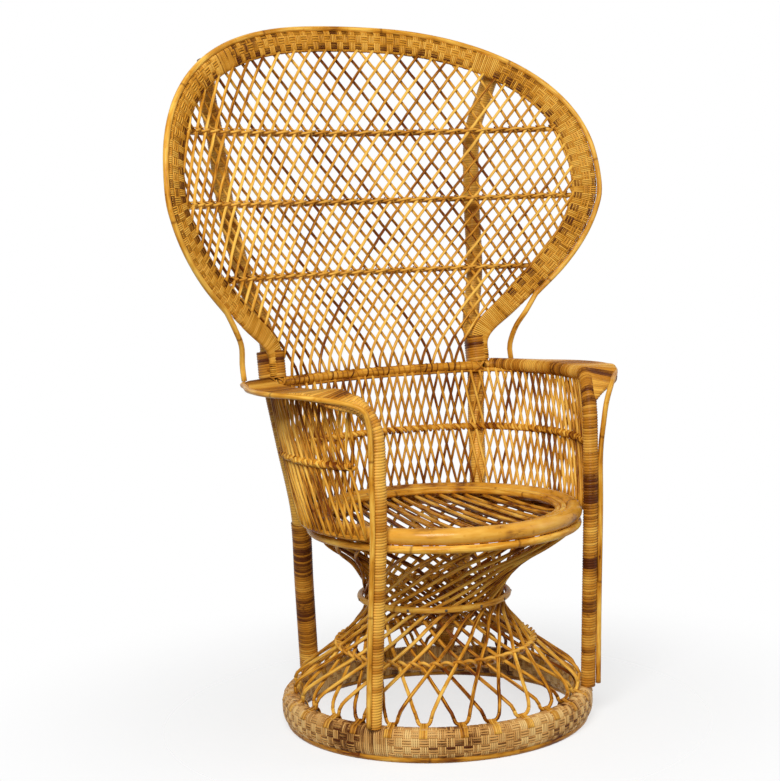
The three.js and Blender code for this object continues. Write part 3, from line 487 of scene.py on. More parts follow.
def mix_colours(tree, factor, a, b, blend="MIX"):
    """A mix of two colours, each an output of a node or three plain numbers."""
    made = add_node(tree, "ShaderNodeMix", data_type="RGBA", blend_type=blend)
    tree.links.new(factor, made.inputs["Factor"])
    for name, value in (("A", a), ("B", b)):
        if isinstance(value, tuple):
            made.inputs[name].default_value = (*value, 1)
        else:
            tree.links.new(value, made.inputs[name])
    return made.outputs["Result"]


def ease(tree, value, low, high):
    made = add_node(tree, "ShaderNodeMapRange", interpolation_type="SMOOTHSTEP")
    tree.links.new(value, made.inputs["Value"])
    made.inputs["From Min"].default_value = low
    made.inputs["From Max"].default_value = high
    return made.outputs["Result"]


def noise(tree, vector, scale, detail=2.0):
    made = add_node(tree, "ShaderNodeTexNoise")
    tree.links.new(vector, made.inputs["Vector"])
    made.inputs["Scale"].default_value = scale
    made.inputs["Detail"].default_value = detail
    return made.outputs["Fac"]


def lay_parts(tree):
    """Share of the way round, metres along, and tone of the surface."""
    lay = add_node(tree, "ShaderNodeAttribute", attribute_name=LAY)
    parts = add_node(tree, "ShaderNodeSeparateXYZ")
    tree.links.new(lay.outputs["Vector"], parts.inputs["Vector"])
    return parts.outputs["X"], parts.outputs["Y"], parts.outputs["Z"]


def grain_group(name):
    """Streaky fibre tones, stains and fine relief along a rod."""
    inputs = {"Tone": 0.5, "Pale": WHITE, "Main": WHITE, "Dark": WHITE}
    inputs.update({"Streaks": 0.5, "Stains": 0.5})
    outputs = {"Color": "Color", "Roughness": "Float", "Height": "Float"}
    group, given, out = new_group(name, inputs, outputs)
    around, along, tone = lay_parts(group)
    fibre = add_node(group, "ShaderNodeCombineXYZ")
    for axis, part, density in (("X", around, 9.0), ("Y", along, 22.0), ("Z", tone, 31.0)):
        group.links.new(math_node(group, "MULTIPLY", part, density), fibre.inputs[axis])
    streak = noise(group, fibre.outputs["Vector"], scale=1.0, detail=4.0)
    fine = noise(group, fibre.outputs["Vector"], scale=5.5, detail=2.0)
    place = add_node(group, "ShaderNodeNewGeometry").outputs["Position"]
    stain = noise(group, place, scale=11.0, detail=3.0)
    speck = noise(group, place, scale=95.0, detail=2.0)
    value = math_node(group, "SUBTRACT", streak, 0.5)
    value = math_node(group, "MULTIPLY_ADD", value, given["Streaks"], given["Tone"])
    shade = math_node(group, "SUBTRACT", stain, 0.5)
    value = math_node(group, "MULTIPLY_ADD", shade, given["Stains"], value)
    dot = math_node(group, "MULTIPLY", ease(group, speck, low=0.62, high=0.74), -0.16)
    value = math_node(group, "ADD", value, dot)
    deep = mix_colours(group, ease(group, value, low=0.14, high=0.52), given["Dark"], given["Main"])
    result = mix_colours(group, ease(group, value, low=0.45, high=1.0), deep, given["Pale"])
    rough = math_node(group, "MULTIPLY_ADD", value, -0.2, 0.5, clamp=True)
    group.links.new(result, out["Color"])
    group.links.new(rough, out["Roughness"])
    group.links.new(fine, out["Height"])
    return group


def knuckle_group(name):
    """Dark ring marks where leaves grew, shifted from rod to rod."""
    inputs = {"Distance": 0.3, "Width": 0.006}
    group, given, out = new_group(name, inputs, {"Mask": "Float"})
    around, along, tone = lay_parts(group)
    shift = math_node(group, "MULTIPLY", tone, KNUCKLE_SHIFT)
    wave = math_node(group, "SINE", math_node(group, "MULTIPLY", around, 6.283))
    bent = math_node(group, "MULTIPLY_ADD", wave, 0.0012, along)
    cell = math_node(group, "ADD", math_node(group, "DIVIDE", bent, given["Distance"]), shift)
    part = math_node(group, "FRACT", cell)
    off = math_node(group, "ABSOLUTE", math_node(group, "SUBTRACT", part, 0.5))
    metres = math_node(group, "MULTIPLY", off, given["Distance"])
    near = math_node(group, "DIVIDE", metres, given["Width"])
    mask = math_node(group, "SUBTRACT", 1.0, near, clamp=True)
    group.links.new(mask, out["Mask"])
    return group


def turn_group(name):
    """A tone for each turn of wound cane, with darker stretches, and a mask of the grooves between
    turns for painted shade.
    """
    group, given, out = new_group(name, {"Stretch": 0.06}, {"Tone": "Float", "Groove": "Float"})
    _, _, turn = lay_parts(group)
    whole = math_node(group, "FLOOR", turn)
    part = math_node(group, "FRACT", turn)
    each = add_node(group, "ShaderNodeTexWhiteNoise", noise_dimensions="1D")
    group.links.new(whole, each.inputs["W"])
    run = add_node(group, "ShaderNodeTexNoise", noise_dimensions="1D")
    group.links.new(math_node(group, "MULTIPLY", whole, given["Stretch"]), run.inputs["W"])
    run.inputs["Scale"].default_value = 1.0
    run.inputs["Detail"].default_value = 1.0
    stretch = ease(group, run.outputs["Fac"], low=0.34, high=0.62)
    single = math_node(group, "MULTIPLY", each.outputs["Value"], 0.38)
    tone = math_node(group, "MULTIPLY_ADD", stretch, 0.5, single)
    edge = math_node(group, "MULTIPLY", part, math_node(group, "SUBTRACT", 1.0, part))
    group.links.new(tone, out["Tone"])
    # mask of the grooves between turns, where wound_finish paints shade
    group.links.new(ease(group, edge, low=0.1, high=0.0), out["Groove"])
    return group


GROUPS = {"rattan_grain": grain_group, "rattan_knuckles": knuckle_group, "cane_turns": turn_group}


def place_group(tree, name, **values):
    """A node of that shared group, which is made on first use, with its own values."""
    group = bpy.data.node_groups.get(name) or GROUPS[name](name)
    made = add_node(tree, "ShaderNodeGroup", node_tree=group)
    for key, value in values.items():
        made.inputs[key.capitalize()].default_value = value
    return made


def place_grain(tree, tones, streaks, stains):
    pale, main, dark = ((*tone, 1.0) for tone in tones)
    values = {"pale": pale, "main": main, "dark": dark, "streaks": streaks, "stains": stains}
    return place_group(tree, "rattan_grain", **values)


def new_finish(name):
    """A material with its nodes and shader, or the material alone where it exists already."""
    material = bpy.data.materials.get(name)
    if material:
        return material, None, None
    material = bpy.data.materials.new(name)
    material.use_nodes = True
    tree = material.node_tree
    shader = tree.nodes["Principled BSDF"]
    return material, tree, shader


def relief(tree, shader, height, strength, reach):
    bump = add_node(tree, "ShaderNodeBump")
    bump.inputs["Strength"].default_value = strength
    bump.inputs["Distance"].default_value = reach
    tree.links.new(height, bump.inputs["Height"])
    tree.links.new(bump.outputs["Normal"], shader.inputs["Normal"])


def varnish(tree, shader, colour_here, grain, coat, coat_roughness):
    tree.links.new(colour_here, shader.inputs["Base Color"])
    tree.links.new(grain.outputs["Roughness"], shader.inputs["Roughness"])
    shader.inputs["Specular IOR Level"].default_value = SPECULAR
    shader.inputs["Coat Weight"].default_value = coat
    shader.inputs["Coat Roughness"].default_value = coat_roughness


def rod_finish(name, tones, streaks=0.5, stains=0.45, coat=0.25, knuckle=None):
    """Varnished rods toned rod by rod; knuckle is the distance and width of ring marks."""
    material, tree, shader = new_finish(name)
    if tree is None:
        return material
    grain = place_grain(tree, tones, streaks, stains)
    _, _, tone = lay_parts(tree)
    tree.links.new(tone, grain.inputs["Tone"])
    result = grain.outputs["Color"]
    height = grain.outputs["Height"]
    if knuckle:
        marks = place_group(tree, "rattan_knuckles", distance=knuckle[0], width=knuckle[1])
        mask = marks.outputs["Mask"]
        part = math_node(tree, "MULTIPLY", mask, 0.8)
        result = mix_colours(tree, part, result, KNUCKLE_SHADE, "MULTIPLY")
        height = math_node(tree, "MULTIPLY_ADD", mask, -1.5, height)
    varnish(tree, shader, result, grain, coat, coat_roughness=0.18)
    relief(tree, shader, height, strength=0.35, reach=0.0006)
    return material


def wound_finish(name, tones, stretch=0.06, lift=0.0):
    """Cane wound round a pole, toned turn by turn."""
    material, tree, shader = new_finish(name)
    if tree is None:
        return material
    grain = place_grain(tree, tones, streaks=0.8, stains=1.0)
    turns = place_group(tree, "cane_turns", stretch=stretch)
    tone = math_node(tree, "ADD", turns.outputs["Tone"], lift)
    tree.links.new(tone, grain.inputs["Tone"])
    # painted shade: the grooves between turns of cane are darkened
    part = math_node(tree, "MULTIPLY", turns.outputs["Groove"], 0.85)
    result = mix_colours(tree, part, grain.outputs["Color"], GROOVE_PAINTED_SHADE, "MULTIPLY")
    varnish(tree, shader, result, grain, coat=0.06, coat_roughness=0.25)
    relief(tree, shader, grain.outputs["Height"], strength=0.3, reach=0.0005)
    return material


def gold_tones():
    c = settings().colours
    return c.pale, c.gold, c.brown


def cane_tones():
    c = settings().colours
    return c.cane_pale, c.cane, c.cane_dark


def bare_rod():
    return rod_finish("bare_rattan", gold_tones(), 1.1, 1.3, coat=0.1, knuckle=ROD_KNUCKLES)


def thin_rod():
    return rod_finish("thin_rattan", gold_tones(), 1.6, 1.6, coat=0.03)


def bamboo_ring():
    c = settings().colours
    tones = (c.bamboo_pale, c.bamboo, c.brown)
    return rod_finish("bamboo_ring", tones, 0.8, 1.4, coat=0.3, knuckle=RING_KNUCKLES)


def pole_cane():
    return wound_finish("pole_cane", cane_tones(), stretch=0.03, lift=0.38)


def woven_cane():
    return rod_finish("woven_cane", cane_tones(), 1.0, 1.3, coat=0.05)


def hood_cane():
    c = settings().colours
    return rod_finish("hood_cane", (c.cane_pale, c.gold, c.cane_dark), 1.0, 1.2, coat=0.05)


def worn_cane():
    c = settings().colours
    return rod_finish("worn_cane", (c.worn_pale, c.worn, c.cane_dark), 1.0, 1.2, coat=0.03)


def wound_cane():
    return wound_finish("wound_cane", cane_tones(), lift=0.14)


def leg_cane(side):
    """The left front leg, on the side of the key light, is painted paler and the right one darker,
    as painted light and shade.
    """
    # painted light and shade: a lit copy of the cane for the left leg and a shaded copy for the
    # right
    lift = {"left": 0.27, "right": 0.03}[side]
    return wound_finish(f"{side}_leg_cane", cane_tones(), lift=lift)


def dark_wound_cane():
    return wound_finish("dark_wound_cane", cane_tones(), stretch=0.04, lift=-0.02)


def weave_core_painted_shade():
    # painted shade: near-black finish of the woven borders' cores, standing in for the shade deep
    # inside the weave
    c = settings().colours
    return rod_finish("weave_core_painted_shade", (c.cane_dark, c.core, c.core), coat=0.0)


def nail_steel():
    material, tree, shader = new_finish("nail_steel")
    if tree is None:
        return material
    place = add_node(tree, "ShaderNodeNewGeometry").outputs["Position"]
    worn = noise(tree, place, scale=420.0, detail=3.0)
    red, green, blue = settings().colours.nail
    rusty = (red * 2.4, green * 2, blue * 1.7)
    result = mix_colours(tree, worn, (red, green, blue), rusty)
    tree.links.new(result, shader.inputs["Base Color"])
    tree.links.new(math_node(tree, "MULTIPLY_ADD", worn, 0.3, 0.3), shader.inputs["Roughness"])
    shader.inputs["Metallic"].default_value = 0.9
    return material


# Shapes of this chair

HOOP_GAP = 0.0003  # between the thick ring and the hoop under it
BORDER_SINK = 0.0023  # the border's height counts from this far below the top of the floor hoop
LOOP_GAP = 0.0025  # between the border and the loops of the base rods
POLE_GAP = 0.0006  # between an arm pole and the cane round it
SEAT_GAP = 0.0023  # between the seat ring and the wound front legs
BASE_LAYER = 0.0108  # between the middles of the two layers of base rods
SKIRT_SQUARE = (0.82, 0.56)  # outward and upward part of the direction square to the skirt
PROFILE_STEPS = 5
SKIRT_STATION = 3  # station of the hourglass at the skirt hoop
LEG_FOOT = 0.324  # radius of the circle of the feet


def tone_of(rng, low=0.3, high=0.78):
    return float(rng.uniform(low, high))


def seat_middle():
    return -settings().seat.forward


def under_height():
    s = settings().seat
    reach = (s.ring + s.under) / 2 + HOOP_GAP
    return s.height - math.sqrt(reach**2 - (s.under_radius - s.ring_radius) ** 2)


def border_top():
    b = settings().base
    return b.hoop - BORDER_SINK + b.border_height


def hourglass_profile():
    """Radius, turn in degrees and height of the outer rods from the border to the seat."""
    b, s = settings().base, settings().seat
    foot = border_top() + b.loop_width / 2 + LOOP_GAP
    top = under_height()
    end = s.under_radius - s.under / 2 - b.rod / 2 - 0.001
    rise, flare = b.skirt_height - foot, end - b.waist_radius
    neck, taper = b.waist_height - b.skirt_height, b.skirt_radius - b.waist_radius
    up = top - b.waist_height
    stations = [
        (b.foot_radius, 0.0, foot),
        (b.foot_radius - 0.01, 1.2, foot + 0.2 * rise),
        (mix(b.foot_radius, b.skirt_radius, 0.52), 5.6, foot + 0.56 * rise),
        (b.skirt_radius, 14.0, b.skirt_height),
        (b.waist_radius + 0.46 * taper, 26.0, b.skirt_height + 0.37 * neck),
        (b.waist_radius + 0.08 * taper, 37.5, b.skirt_height + 0.68 * neck),
        (b.waist_radius, 54.0, b.waist_height),
        (b.waist_radius + 0.03 * flare, 71.0, b.waist_height + 0.15 * up),
        (b.waist_radius + 0.16 * flare, 87.0, b.waist_height + 0.35 * up),
        (b.waist_radius + 0.38 * flare, 97.0, b.waist_height + 0.55 * up),
        (b.waist_radius + 0.74 * flare, 107.0, b.waist_height + 0.76 * up),
        (end - 0.003, 115.0, b.waist_height + 0.92 * up),
        (end, 121.0, top + 0.004),
    ]
    return spline(stations, PROFILE_STEPS)


def seat_shift(z):
    """How far the base rods lean forward by a height, to meet the seat."""
    b = settings().base
    return -settings().seat.forward * smooth_step(b.waist_height, under_height(), z)


def hourglass_rod(profile, start, sign, inside):
    along = tangents(profile * point(1, 0, 1))
    radius = profile[:, 0] - inside * along[:, 2]
    z = profile[:, 2] + inside * along[:, 0]
    path = on_circle(radius, start + sign * profile[:, 1], z)
    path[:, 1] += seat_shift(profile[:, 2])
    return path


def on_hood(x, z, behind=0.0):
    """A point of the hood's sheet, or behind it."""
    h, a = settings().hood, settings().arms
    x, z = np.asarray(x, float), np.asarray(z, float)
    y = a.rail_back + h.lean * (z - a.rail_height) - h.curl * x * x
    flat = np.stack(np.broadcast_arrays(x, y, z), -1)
    return flat + np.asarray(behind)[..., None] * hood_normal(flat)


def hood_normal(path):
    h = settings().hood
    x = path[..., 0]
    return unit(np.stack(np.broadcast_arrays(2 * h.curl * x, 1.0, -h.lean), -1))


NECK_LOW = 0.7405  # height at which the necks of the hood begin
NECK_STRAIGHT = 0.04  # length of a neck's straight part
LOW_END = -40  # degrees of the outline's first point above the bend of the neck
LOW_CLOSE = 0.71  # height at which the lower half of the outline would close
TOP_POWER, LOW_POWER = 2.38, 1.7  # how square the upper and the lower half are
OUTLINE_STEPS = 8


def hood_outline():
    """Outline of the rim from the right neck over the top to the left neck, as x and z."""
    h, a = settings().hood, settings().arms
    reach = a.neck + h.rim + h.border_width / 2
    right = [
        (reach, NECK_LOW),
        (reach, NECK_LOW + NECK_STRAIGHT / 2),
        (reach, NECK_LOW + NECK_STRAIGHT),
        (reach + 0.014, NECK_LOW + NECK_STRAIGHT + 0.02),
        (reach + 0.05, NECK_LOW + NECK_STRAIGHT + 0.052),
    ]
    for degrees in range(LOW_END, 90, 10):
        low = degrees < 0
        power = 2 / (LOW_POWER if low else TOP_POWER)
        rise = (LOW_CLOSE if low else h.top) - h.middle
        x = h.half_width * math.cos(math.radians(degrees)) ** power
        z = h.middle + rise * abs(math.sin(math.radians(degrees))) ** power
        right.append((x, z))
    left = [(-x, z) for x, z in reversed(right)]
    return spline([*right, (0.0, h.top), *left], OUTLINE_STEPS)


def inset_outline(distance):
    path = hood_outline()
    along = unit(np.gradient(path, axis=0))
    return path + distance * np.stack([-along[:, 1], along[:, 0]], 1)


RIM_FROM = 5 * OUTLINE_STEPS  # steps of the outline below the place where the rim joins
FRONT_FOOT, REAR_FOOT = 52.6, 148.0  # degrees from the front to the feet on the border
FRONT_HIP, REAR_HIP = 54.2, 136.0  # degrees from the front to the legs beside the seat
ARM_PLAN = ((0.282, -0.172), (0.311, -0.09), (0.324, 0.016), (0.306, 0.118))  # front to back
ARM_STEPS = 12
DECK_END = 5 * ARM_STEPS + 11  # step of the arm at which the wound deck ends above the leg
KNEE_DROP = 0.158  # from the arm down to the knee under its bend
EDGE_GAP = 0.0008  # between the wound leg and the edge rod
EDGE_SIDE = (0.91, -0.41, 0)  # direction from the right leg to its edge rod
STAYS = {"bottom": 0.951, "middle": 1.109, "top": 1.262}  # heights of the stays


def arm_paths():
    """Paths of the right arm pole, which becomes the front leg, and of the edge rod beside it."""
    a, s = settings().arms, settings().seat
    z = a.rail_height - 0.011 + a.pole / 2
    neck = on_hood(a.neck, a.rail_height)
    aside = unit(neck - on_hood(0.75 * a.neck, a.rail_height))
    start = neck + 0.0032 * aside
    start[2] = z
    splice = start + a.pole * aside
    wrap = (a.pole / 2 + POLE_GAP) / math.cos(math.pi / 6)  # corner of a six-sided winding
    stand_off = s.ring_radius + s.ring / 2 + SEAT_GAP + wrap
    at_seat = on_circle(stand_off, FRONT_HIP, s.height, seat_middle())
    foot = on_circle(LEG_FOOT, FRONT_FOOT, border_top())
    knee = at_seat + point(0, -0.004, 0)
    knee[2] = z - KNEE_DROP
    nose, front, side, corner = ARM_PLAN
    shin = mix(at_seat, foot, 0.55)
    pole_points = [
        start,
        splice,
        point(*corner, z),
        point(*side, z),
        point(*front, z),
        point(*nose, z),
        knee + point(0.003, 0.005, 0.102),
        knee,
        at_seat,
        shin,
        foot,
    ]
    beside = (wrap + EDGE_GAP + a.edge / 2) * point(*EDGE_SIDE)
    edge_foot = mix(at_seat, foot, 0.9) + beside
    edge_foot[2] = a.edge_end
    edge_points = [
        start + point(0.076, 0, 0.002),
        splice + point(0.072, -0.026, 0.003),
        point(corner[0] + 0.062, corner[1], z + 0.004),
        point(side[0] + 0.078, side[1] + 0.002, z + 0.006),
        point(front[0] + 0.094, front[1] + 0.012, z + 0.006),
        point(nose[0] + 0.086, nose[1] + 0.01, z + 0.004),
        knee + point(0.046, -0.014, 0.145),
        knee + point(0.028, -0.021, 0.11),
        knee + point(0.023, -0.017, 0.07),
        knee + beside,
        at_seat + beside,
        shin + beside,
        edge_foot,
    ]
    return spline(pole_points, ARM_STEPS), spline(edge_points, ARM_STEPS)


def upright_path():
    """Path of the right upright from the top of the hood down to the rear foot."""
    h, a, s = settings().hood, settings().arms, settings().seat
    behind_rail = a.pole / 2 + POLE_GAP + h.upright / 2
    foot = on_circle(LEG_FOOT, REAR_FOOT, border_top())
    inward = a.neck - 0.008
    rail_pass = on_hood(inward, a.rail_height, behind_rail)
    stand_off = s.ring_radius + s.ring / 2 + 0.0145 + h.upright / 2
    hip = on_circle(stand_off, REAR_HIP, s.height - 0.012, seat_middle())
    points = [
        on_hood(a.neck + 0.092, 1.415, 0.0258),
        on_hood(a.neck + 0.067, 1.35, 0.057),
        on_hood(a.neck + 0.038, STAYS["top"], 0.077),
        on_hood(a.neck + 0.025, STAYS["middle"], 0.079),
        on_hood(a.neck + 0.014, STAYS["bottom"], 0.056),
        on_hood(inward, a.rail_height + 0.105, behind_rail + 0.003),
        on_hood(inward, a.rail_height + 0.05, behind_rail),
        rail_pass,
        mix(rail_pass, hip, 0.45),
        hip,
        mix(hip, foot, 0.45),
        foot,
    ]
    return spline(points, 8)


# Pieces


def woven_band(place, run, closed, section, cells, plain, seed):
    """Groups of cane strips over and under thinner strands round a core.

    place(s) gives the middle and two cross axes at a distance along the band, section is the ring
    of points that the weave lies on, cells are the length of a block and the number of blocks
    round the band, and plain(s) says where the strips are only wound.
    """
    rng = np.random.default_rng(seed)
    cell_along, rows = cells
    strips_in_cell, strands_in_row, tone_run = 4, 3, 6
    # the strips and strands cover only part of each cell, so that the near-black core shows between
    # them as painted shade
    strip_cover, strand_cover = 0.8, 0.74
    lift, thick = 0.0009, 0.0011
    samples = section.shape[0]
    normal = ring_normal(section)
    groups = int(round(run / cell_along))
    groups += groups % 2 if closed else 0
    strips = groups * strips_in_cell
    pitch = run / strips
    weaver = Weaver()
    row_of = np.arange(samples) * rows // samples
    knots = np.arange(0, groups + tone_run, tone_run)
    drift = np.interp(np.arange(groups), knots, rng.uniform(0.38, 0.68, len(knots)))
    for n in range(strips):
        s = (n + 0.5) * pitch
        group = n // strips_in_cell
        middle, first, second = place(s)
        over = (group + row_of) % 2 == 0
        lift_here = np.where(over | plain(s), lift, -lift)
        ring = section + normal * lift_here[:, None]
        path = middle + ring[:, :1] * first + ring[:, 1:] * second
        face = normal[:, :1] * first + normal[:, 1:] * second
        tone = np.clip(drift[group] + rng.normal(0.14, 0.12), 0.25, 0.95)
        weaver.strap(path, face, pitch * strip_cover, thick, tone, closed=True)
    at = (np.arange(groups * 2) + 0.5) * run / (groups * 2)
    middle, first, second = (np.array(line) for line in zip(*[place(s) for s in at]))
    group = np.arange(groups * 2) // 2
    hidden = np.array([plain(s) for s in at])
    perimeter = distance_along(np.vstack([section, section[:1]]))[-1]
    width = perimeter / rows / strands_in_row * strand_cover
    for row in range(rows):
        over = (group + row) % 2 == 1
        lift_here = np.where(over & ~hidden, lift, -lift)[:, None]
        dark = rng.uniform(0.34, 0.56)
        for k in range(strands_in_row):
            spot = (row + (k + 0.5) / strands_in_row) * samples / rows - 0.5
            i = int(np.floor(spot)) % samples
            part = spot - np.floor(spot)
            a = mix(section[i], section[(i + 1) % samples], part)
            n = unit(mix(normal[i], normal[(i + 1) % samples], part))
            face = n[0] * first + n[1] * second
            path = middle + a[0] * first + a[1] * second + lift_here * face
            tone = np.clip(dark + rng.normal(0, 0.1), 0.15, 0.8)
            weaver.strap(path, face, width, thick, tone, closed)
    return weaver


class CHAIR_OT_base_hoops(bpy.types.Operator):
    """Floor, skirt and waist hoops with the nails of the waist"""

    bl_idname = "chair.base_hoops"
    bl_label = "Base Hoops"

    worn_flat = 0.0015  # how much of the floor hoop's underside is worn away
    skirt_gap = 0.003  # between the inner rods and the skirt hoop
    waist_gap = 0.0015  # between the outer rods and the waist hoop
    first_nail = 6.4  # degrees from the front
    nail_sink = 0.0003
    nail_heights = (0.0, 0.0006, 0.0012, 0.0016)
    nail_radii = (0.003, 0.0031, 0.0022, 0.0008)

    def execute(self, context):
        b = settings().base
        floor = Weaver()
        path = ring_path(b.hoop_radius, b.hoop / 2 - self.worn_flat)
        floor.hoop(path, b.hoop / 2, sides=12, tone=0.4)
        rows = floor.points[0]
        rows[:, 2] = np.maximum(rows[:, 2], 0.0)
        settle(floor.object("floor_hoop_rod", bare_rod()), "rattan_honey", "floor_hoop")

        skirt = Weaver()
        inside = BASE_LAYER + b.rod / 2 + b.skirt_hoop / 2 + self.skirt_gap
        out, up = SKIRT_SQUARE
        path = ring_path(b.skirt_radius - inside * out, b.skirt_height - inside * up)
        skirt.hoop(path, b.skirt_hoop / 2, sides=10, tone=0.5)
        settle(skirt.object("skirt_hoop_rod", bare_rod()), "cane_brown", "skirt_hoop")

        waist = Weaver()
        radius = b.waist_radius + b.rod / 2 + self.waist_gap + b.waist_hoop / 2
        waist.hoop(ring_path(radius, b.waist_height), b.waist_hoop / 2, sides=12, tone=0.68)
        settle(waist.object("waist_hoop_rod", bare_rod()), "rattan_gold", "waist_hoop")

        nails = Weaver()
        heights = np.array(self.nail_heights)[:, None]
        for n in range(b.nails):
            out = on_circle(1.0, self.first_nail + n * 360 / b.nails, 0.0)
            head = out * (radius + b.waist_hoop / 2 - self.nail_sink) + b.waist_height * UP
            nails.tube(head + heights * out, self.nail_radii, sides=10, tone=0.5, toward=UP)
        made = nails.object("waist_nails", nail_steel())
        settle(made, "nail", *[f"waist_nail_{n}" for n in range(1, 5)])
        return {"FINISHED"}


class CHAIR_OT_base_border(bpy.types.Operator):
    """Woven border that comes down over the floor hoop"""

    bl_idname = "chair.base_border"
    bl_label = "Base Border"

    hoop_left_bare = 0.4  # share of the floor hoop's height
    weave_cells = (0.0165, 10)  # length of a block, and blocks round the border
    weave_depth = 0.0014
    core_depth = 0.0032
    rounding = 0.75
    foot_winding = 0.03  # to both sides of a foot the border is only wound

    def execute(self, context):
        b = settings().base
        low, high = self.hoop_left_bare * b.hoop, border_top()
        z = (low + high) / 2
        run = 2 * math.pi * b.border_radius
        half = (b.border_width / 2, (high - low) / 2)
        section = blunt_section(*[side - self.weave_depth for side in half], 36, self.rounding)
        feet = np.array((FRONT_FOOT, -FRONT_FOOT, REAR_FOOT, -REAR_FOOT)) * run / 360

        def place(s):
            out = on_circle(1.0, -s * 360 / run, 0.0)
            return out * b.border_radius + z * UP, out, UP

        def plain(s):
            gap = np.abs((feet + s + run / 2) % run - run / 2)
            return bool(np.min(gap) < self.foot_winding)

        weave = woven_band(place, run, True, section, self.weave_cells, plain, seed=11)
        settle(weave.object("base_border_weave", worn_cane()), "cane_brown", "base_border")

        # near-black core under the weave, painted shade that shows in its gaps
        core = Weaver()
        path = ring_path(b.border_radius, z)
        ring = blunt_section(*[side - self.core_depth for side in half], 20, self.rounding)
        out = outward_from(path)
        up = np.broadcast_to(UP, out.shape)
        core.skin(path, (out, up), ring, np.arange(len(path)) * 0.02, 0.4, True)
        settle(core.object("base_border_core_painted_shade", weave_core_painted_shade()), "cane_brown")
        return {"FINISHED"}


# Cane over the bottom of a loop, as steps outward and up from it to both sides of the border.
LASHING = (
    (-0.0105, -0.014),
    (-0.0055, 0.0005),
    (0.0, 0.0053),
    (0.006, 0.0022),
    (0.014, -0.0006),
    (0.0245, -0.0042),
    (0.0322, -0.016),
)


class CHAIR_OT_base_rods(bpy.types.Operator):
    """Bent rods of the hourglass with their loops at the border and the ties at the skirt hoop"""

    bl_idname = "chair.base_rods"
    bl_label = "Base Rods"

    first_rod = 4.0  # degrees from the front
    rod_step = 0.012
    loop_step = 0.004
    diagonal = 0.707
    # painted shade: the inner layer of rods, inside the outer one, is toned this much darker
    inner_painted_shade = 0.14
    lashing_turns = (-1.5, -0.5, 0.5, 1.5)
    lashing_pitch = 0.0041
    lashing_cane = (0.0037, 0.001)  # width and thickness
    tie_cane = (0.003, 0.0012)
    tie_gap = 0.0012
    tie_drop = 0.004
    tie_slant = 0.0045
    twine = 0.0034  # radius of the two strands that twine round the rods at the skirt
    twine_gap = 0.003
    twine_wave = 0.004

    def execute(self, context):
        b = settings().base
        rng = np.random.default_rng(23)
        profile = hourglass_profile()
        half = math.degrees(b.loop_width / 2 / b.foot_radius)
        outer, inner, bends, ties, lashings = (Weaver() for _ in range(5))
        skirt = SKIRT_STATION * PROFILE_STEPS
        belly = b.loop_width * (self.diagonal - 0.5) * UP
        for n in range(b.rods):
            middle = n * 360 / b.rods + self.first_rod + rng.normal(0, 0.6)
            tone = tone_of(rng, 0.3, 0.8)
            right = hourglass_rod(profile, middle + half, 1, 0.0)
            left = hourglass_rod(profile, middle - half, -1, BASE_LAYER)
            outer.tube(even(right, self.rod_step), b.rod / 2, 8, tone)
            # painted shade: the inner rods get a darker tone
            inner.tube(even(left, self.rod_step), b.rod / 2, 8, tone - self.inner_painted_shade)
            low = (right[0] + left[0]) / 2 - b.loop_width / 2 * UP
            low_right = mix(low, right[0], self.diagonal) - belly
            low_left = mix(low, left[0], self.diagonal) - belly
            loop = spline([right[1], right[0], low_right, low, low_left, left[0], left[1]], 5)[5:-5]
            bends.tube(even(loop, self.loop_step), b.rod / 2, 8, tone)
            out = outward_from(low[None])[0]
            aside = np.cross(UP, out)
            over = spline([low + r * out + z * UP for r, z in LASHING], 3)
            face = np.cross(tangents(over), aside)
            for place in self.lashing_turns:
                turn = over + place * self.lashing_pitch * aside
                lashings.strap(turn, face, *self.lashing_cane, tone_of(rng, 0.4, 0.9))
            for path, bound in ((right, b.skirt_hoop + BASE_LAYER), (left, b.skirt_hoop)):
                spot = path[skirt] - self.tie_drop * UP
                out = outward_from(spot[None])[0]
                ahead = unit(path[skirt + 1] - path[skirt - 1])
                axes = (np.cross(ahead, out), out)
                reach = b.rod / 2 + self.tie_gap
                centre, halves = spot - out * bound / 2, (reach, reach + bound / 2)
                for slant in (-self.tie_slant * ahead, self.tie_slant * ahead):
                    tone = tone_of(rng, 0.15, 0.7)
                    ties.lash(centre, axes, halves, slant, 12, self.tie_cane, tone)
        degrees = np.linspace(0, 360, b.rods * 16, endpoint=False)
        for phase, tone in ((0.0, 0.85), (np.pi, 0.65)):
            wave = np.radians(degrees * b.rods) + phase
            swing = BASE_LAYER / 2 + b.rod / 2 + self.twine_gap
            away = swing * np.sin(wave) - BASE_LAYER / 2
            radius = b.skirt_radius + SKIRT_SQUARE[0] * away
            z = b.skirt_height + SKIRT_SQUARE[1] * away + self.twine_wave * np.cos(wave)
            ties.tube(on_circle(radius, degrees, z), self.twine, 7, tone, True)
        settle(outer.object("base_rods_rising_right", thin_rod()), "rattan_gold", "base_rods_outer")
        settle(inner.object("base_rods_rising_left", thin_rod()), "rattan_gold", "base_rods_inner")
        settle(bends.object("base_rod_loops", thin_rod()), "rattan_gold")
        settle(ties.object("skirt_hoop_ties", woven_cane()), "cane_brown")
        settle(lashings.object("base_loop_lashings", woven_cane()), "cane_brown")
        return {"FINISHED"}


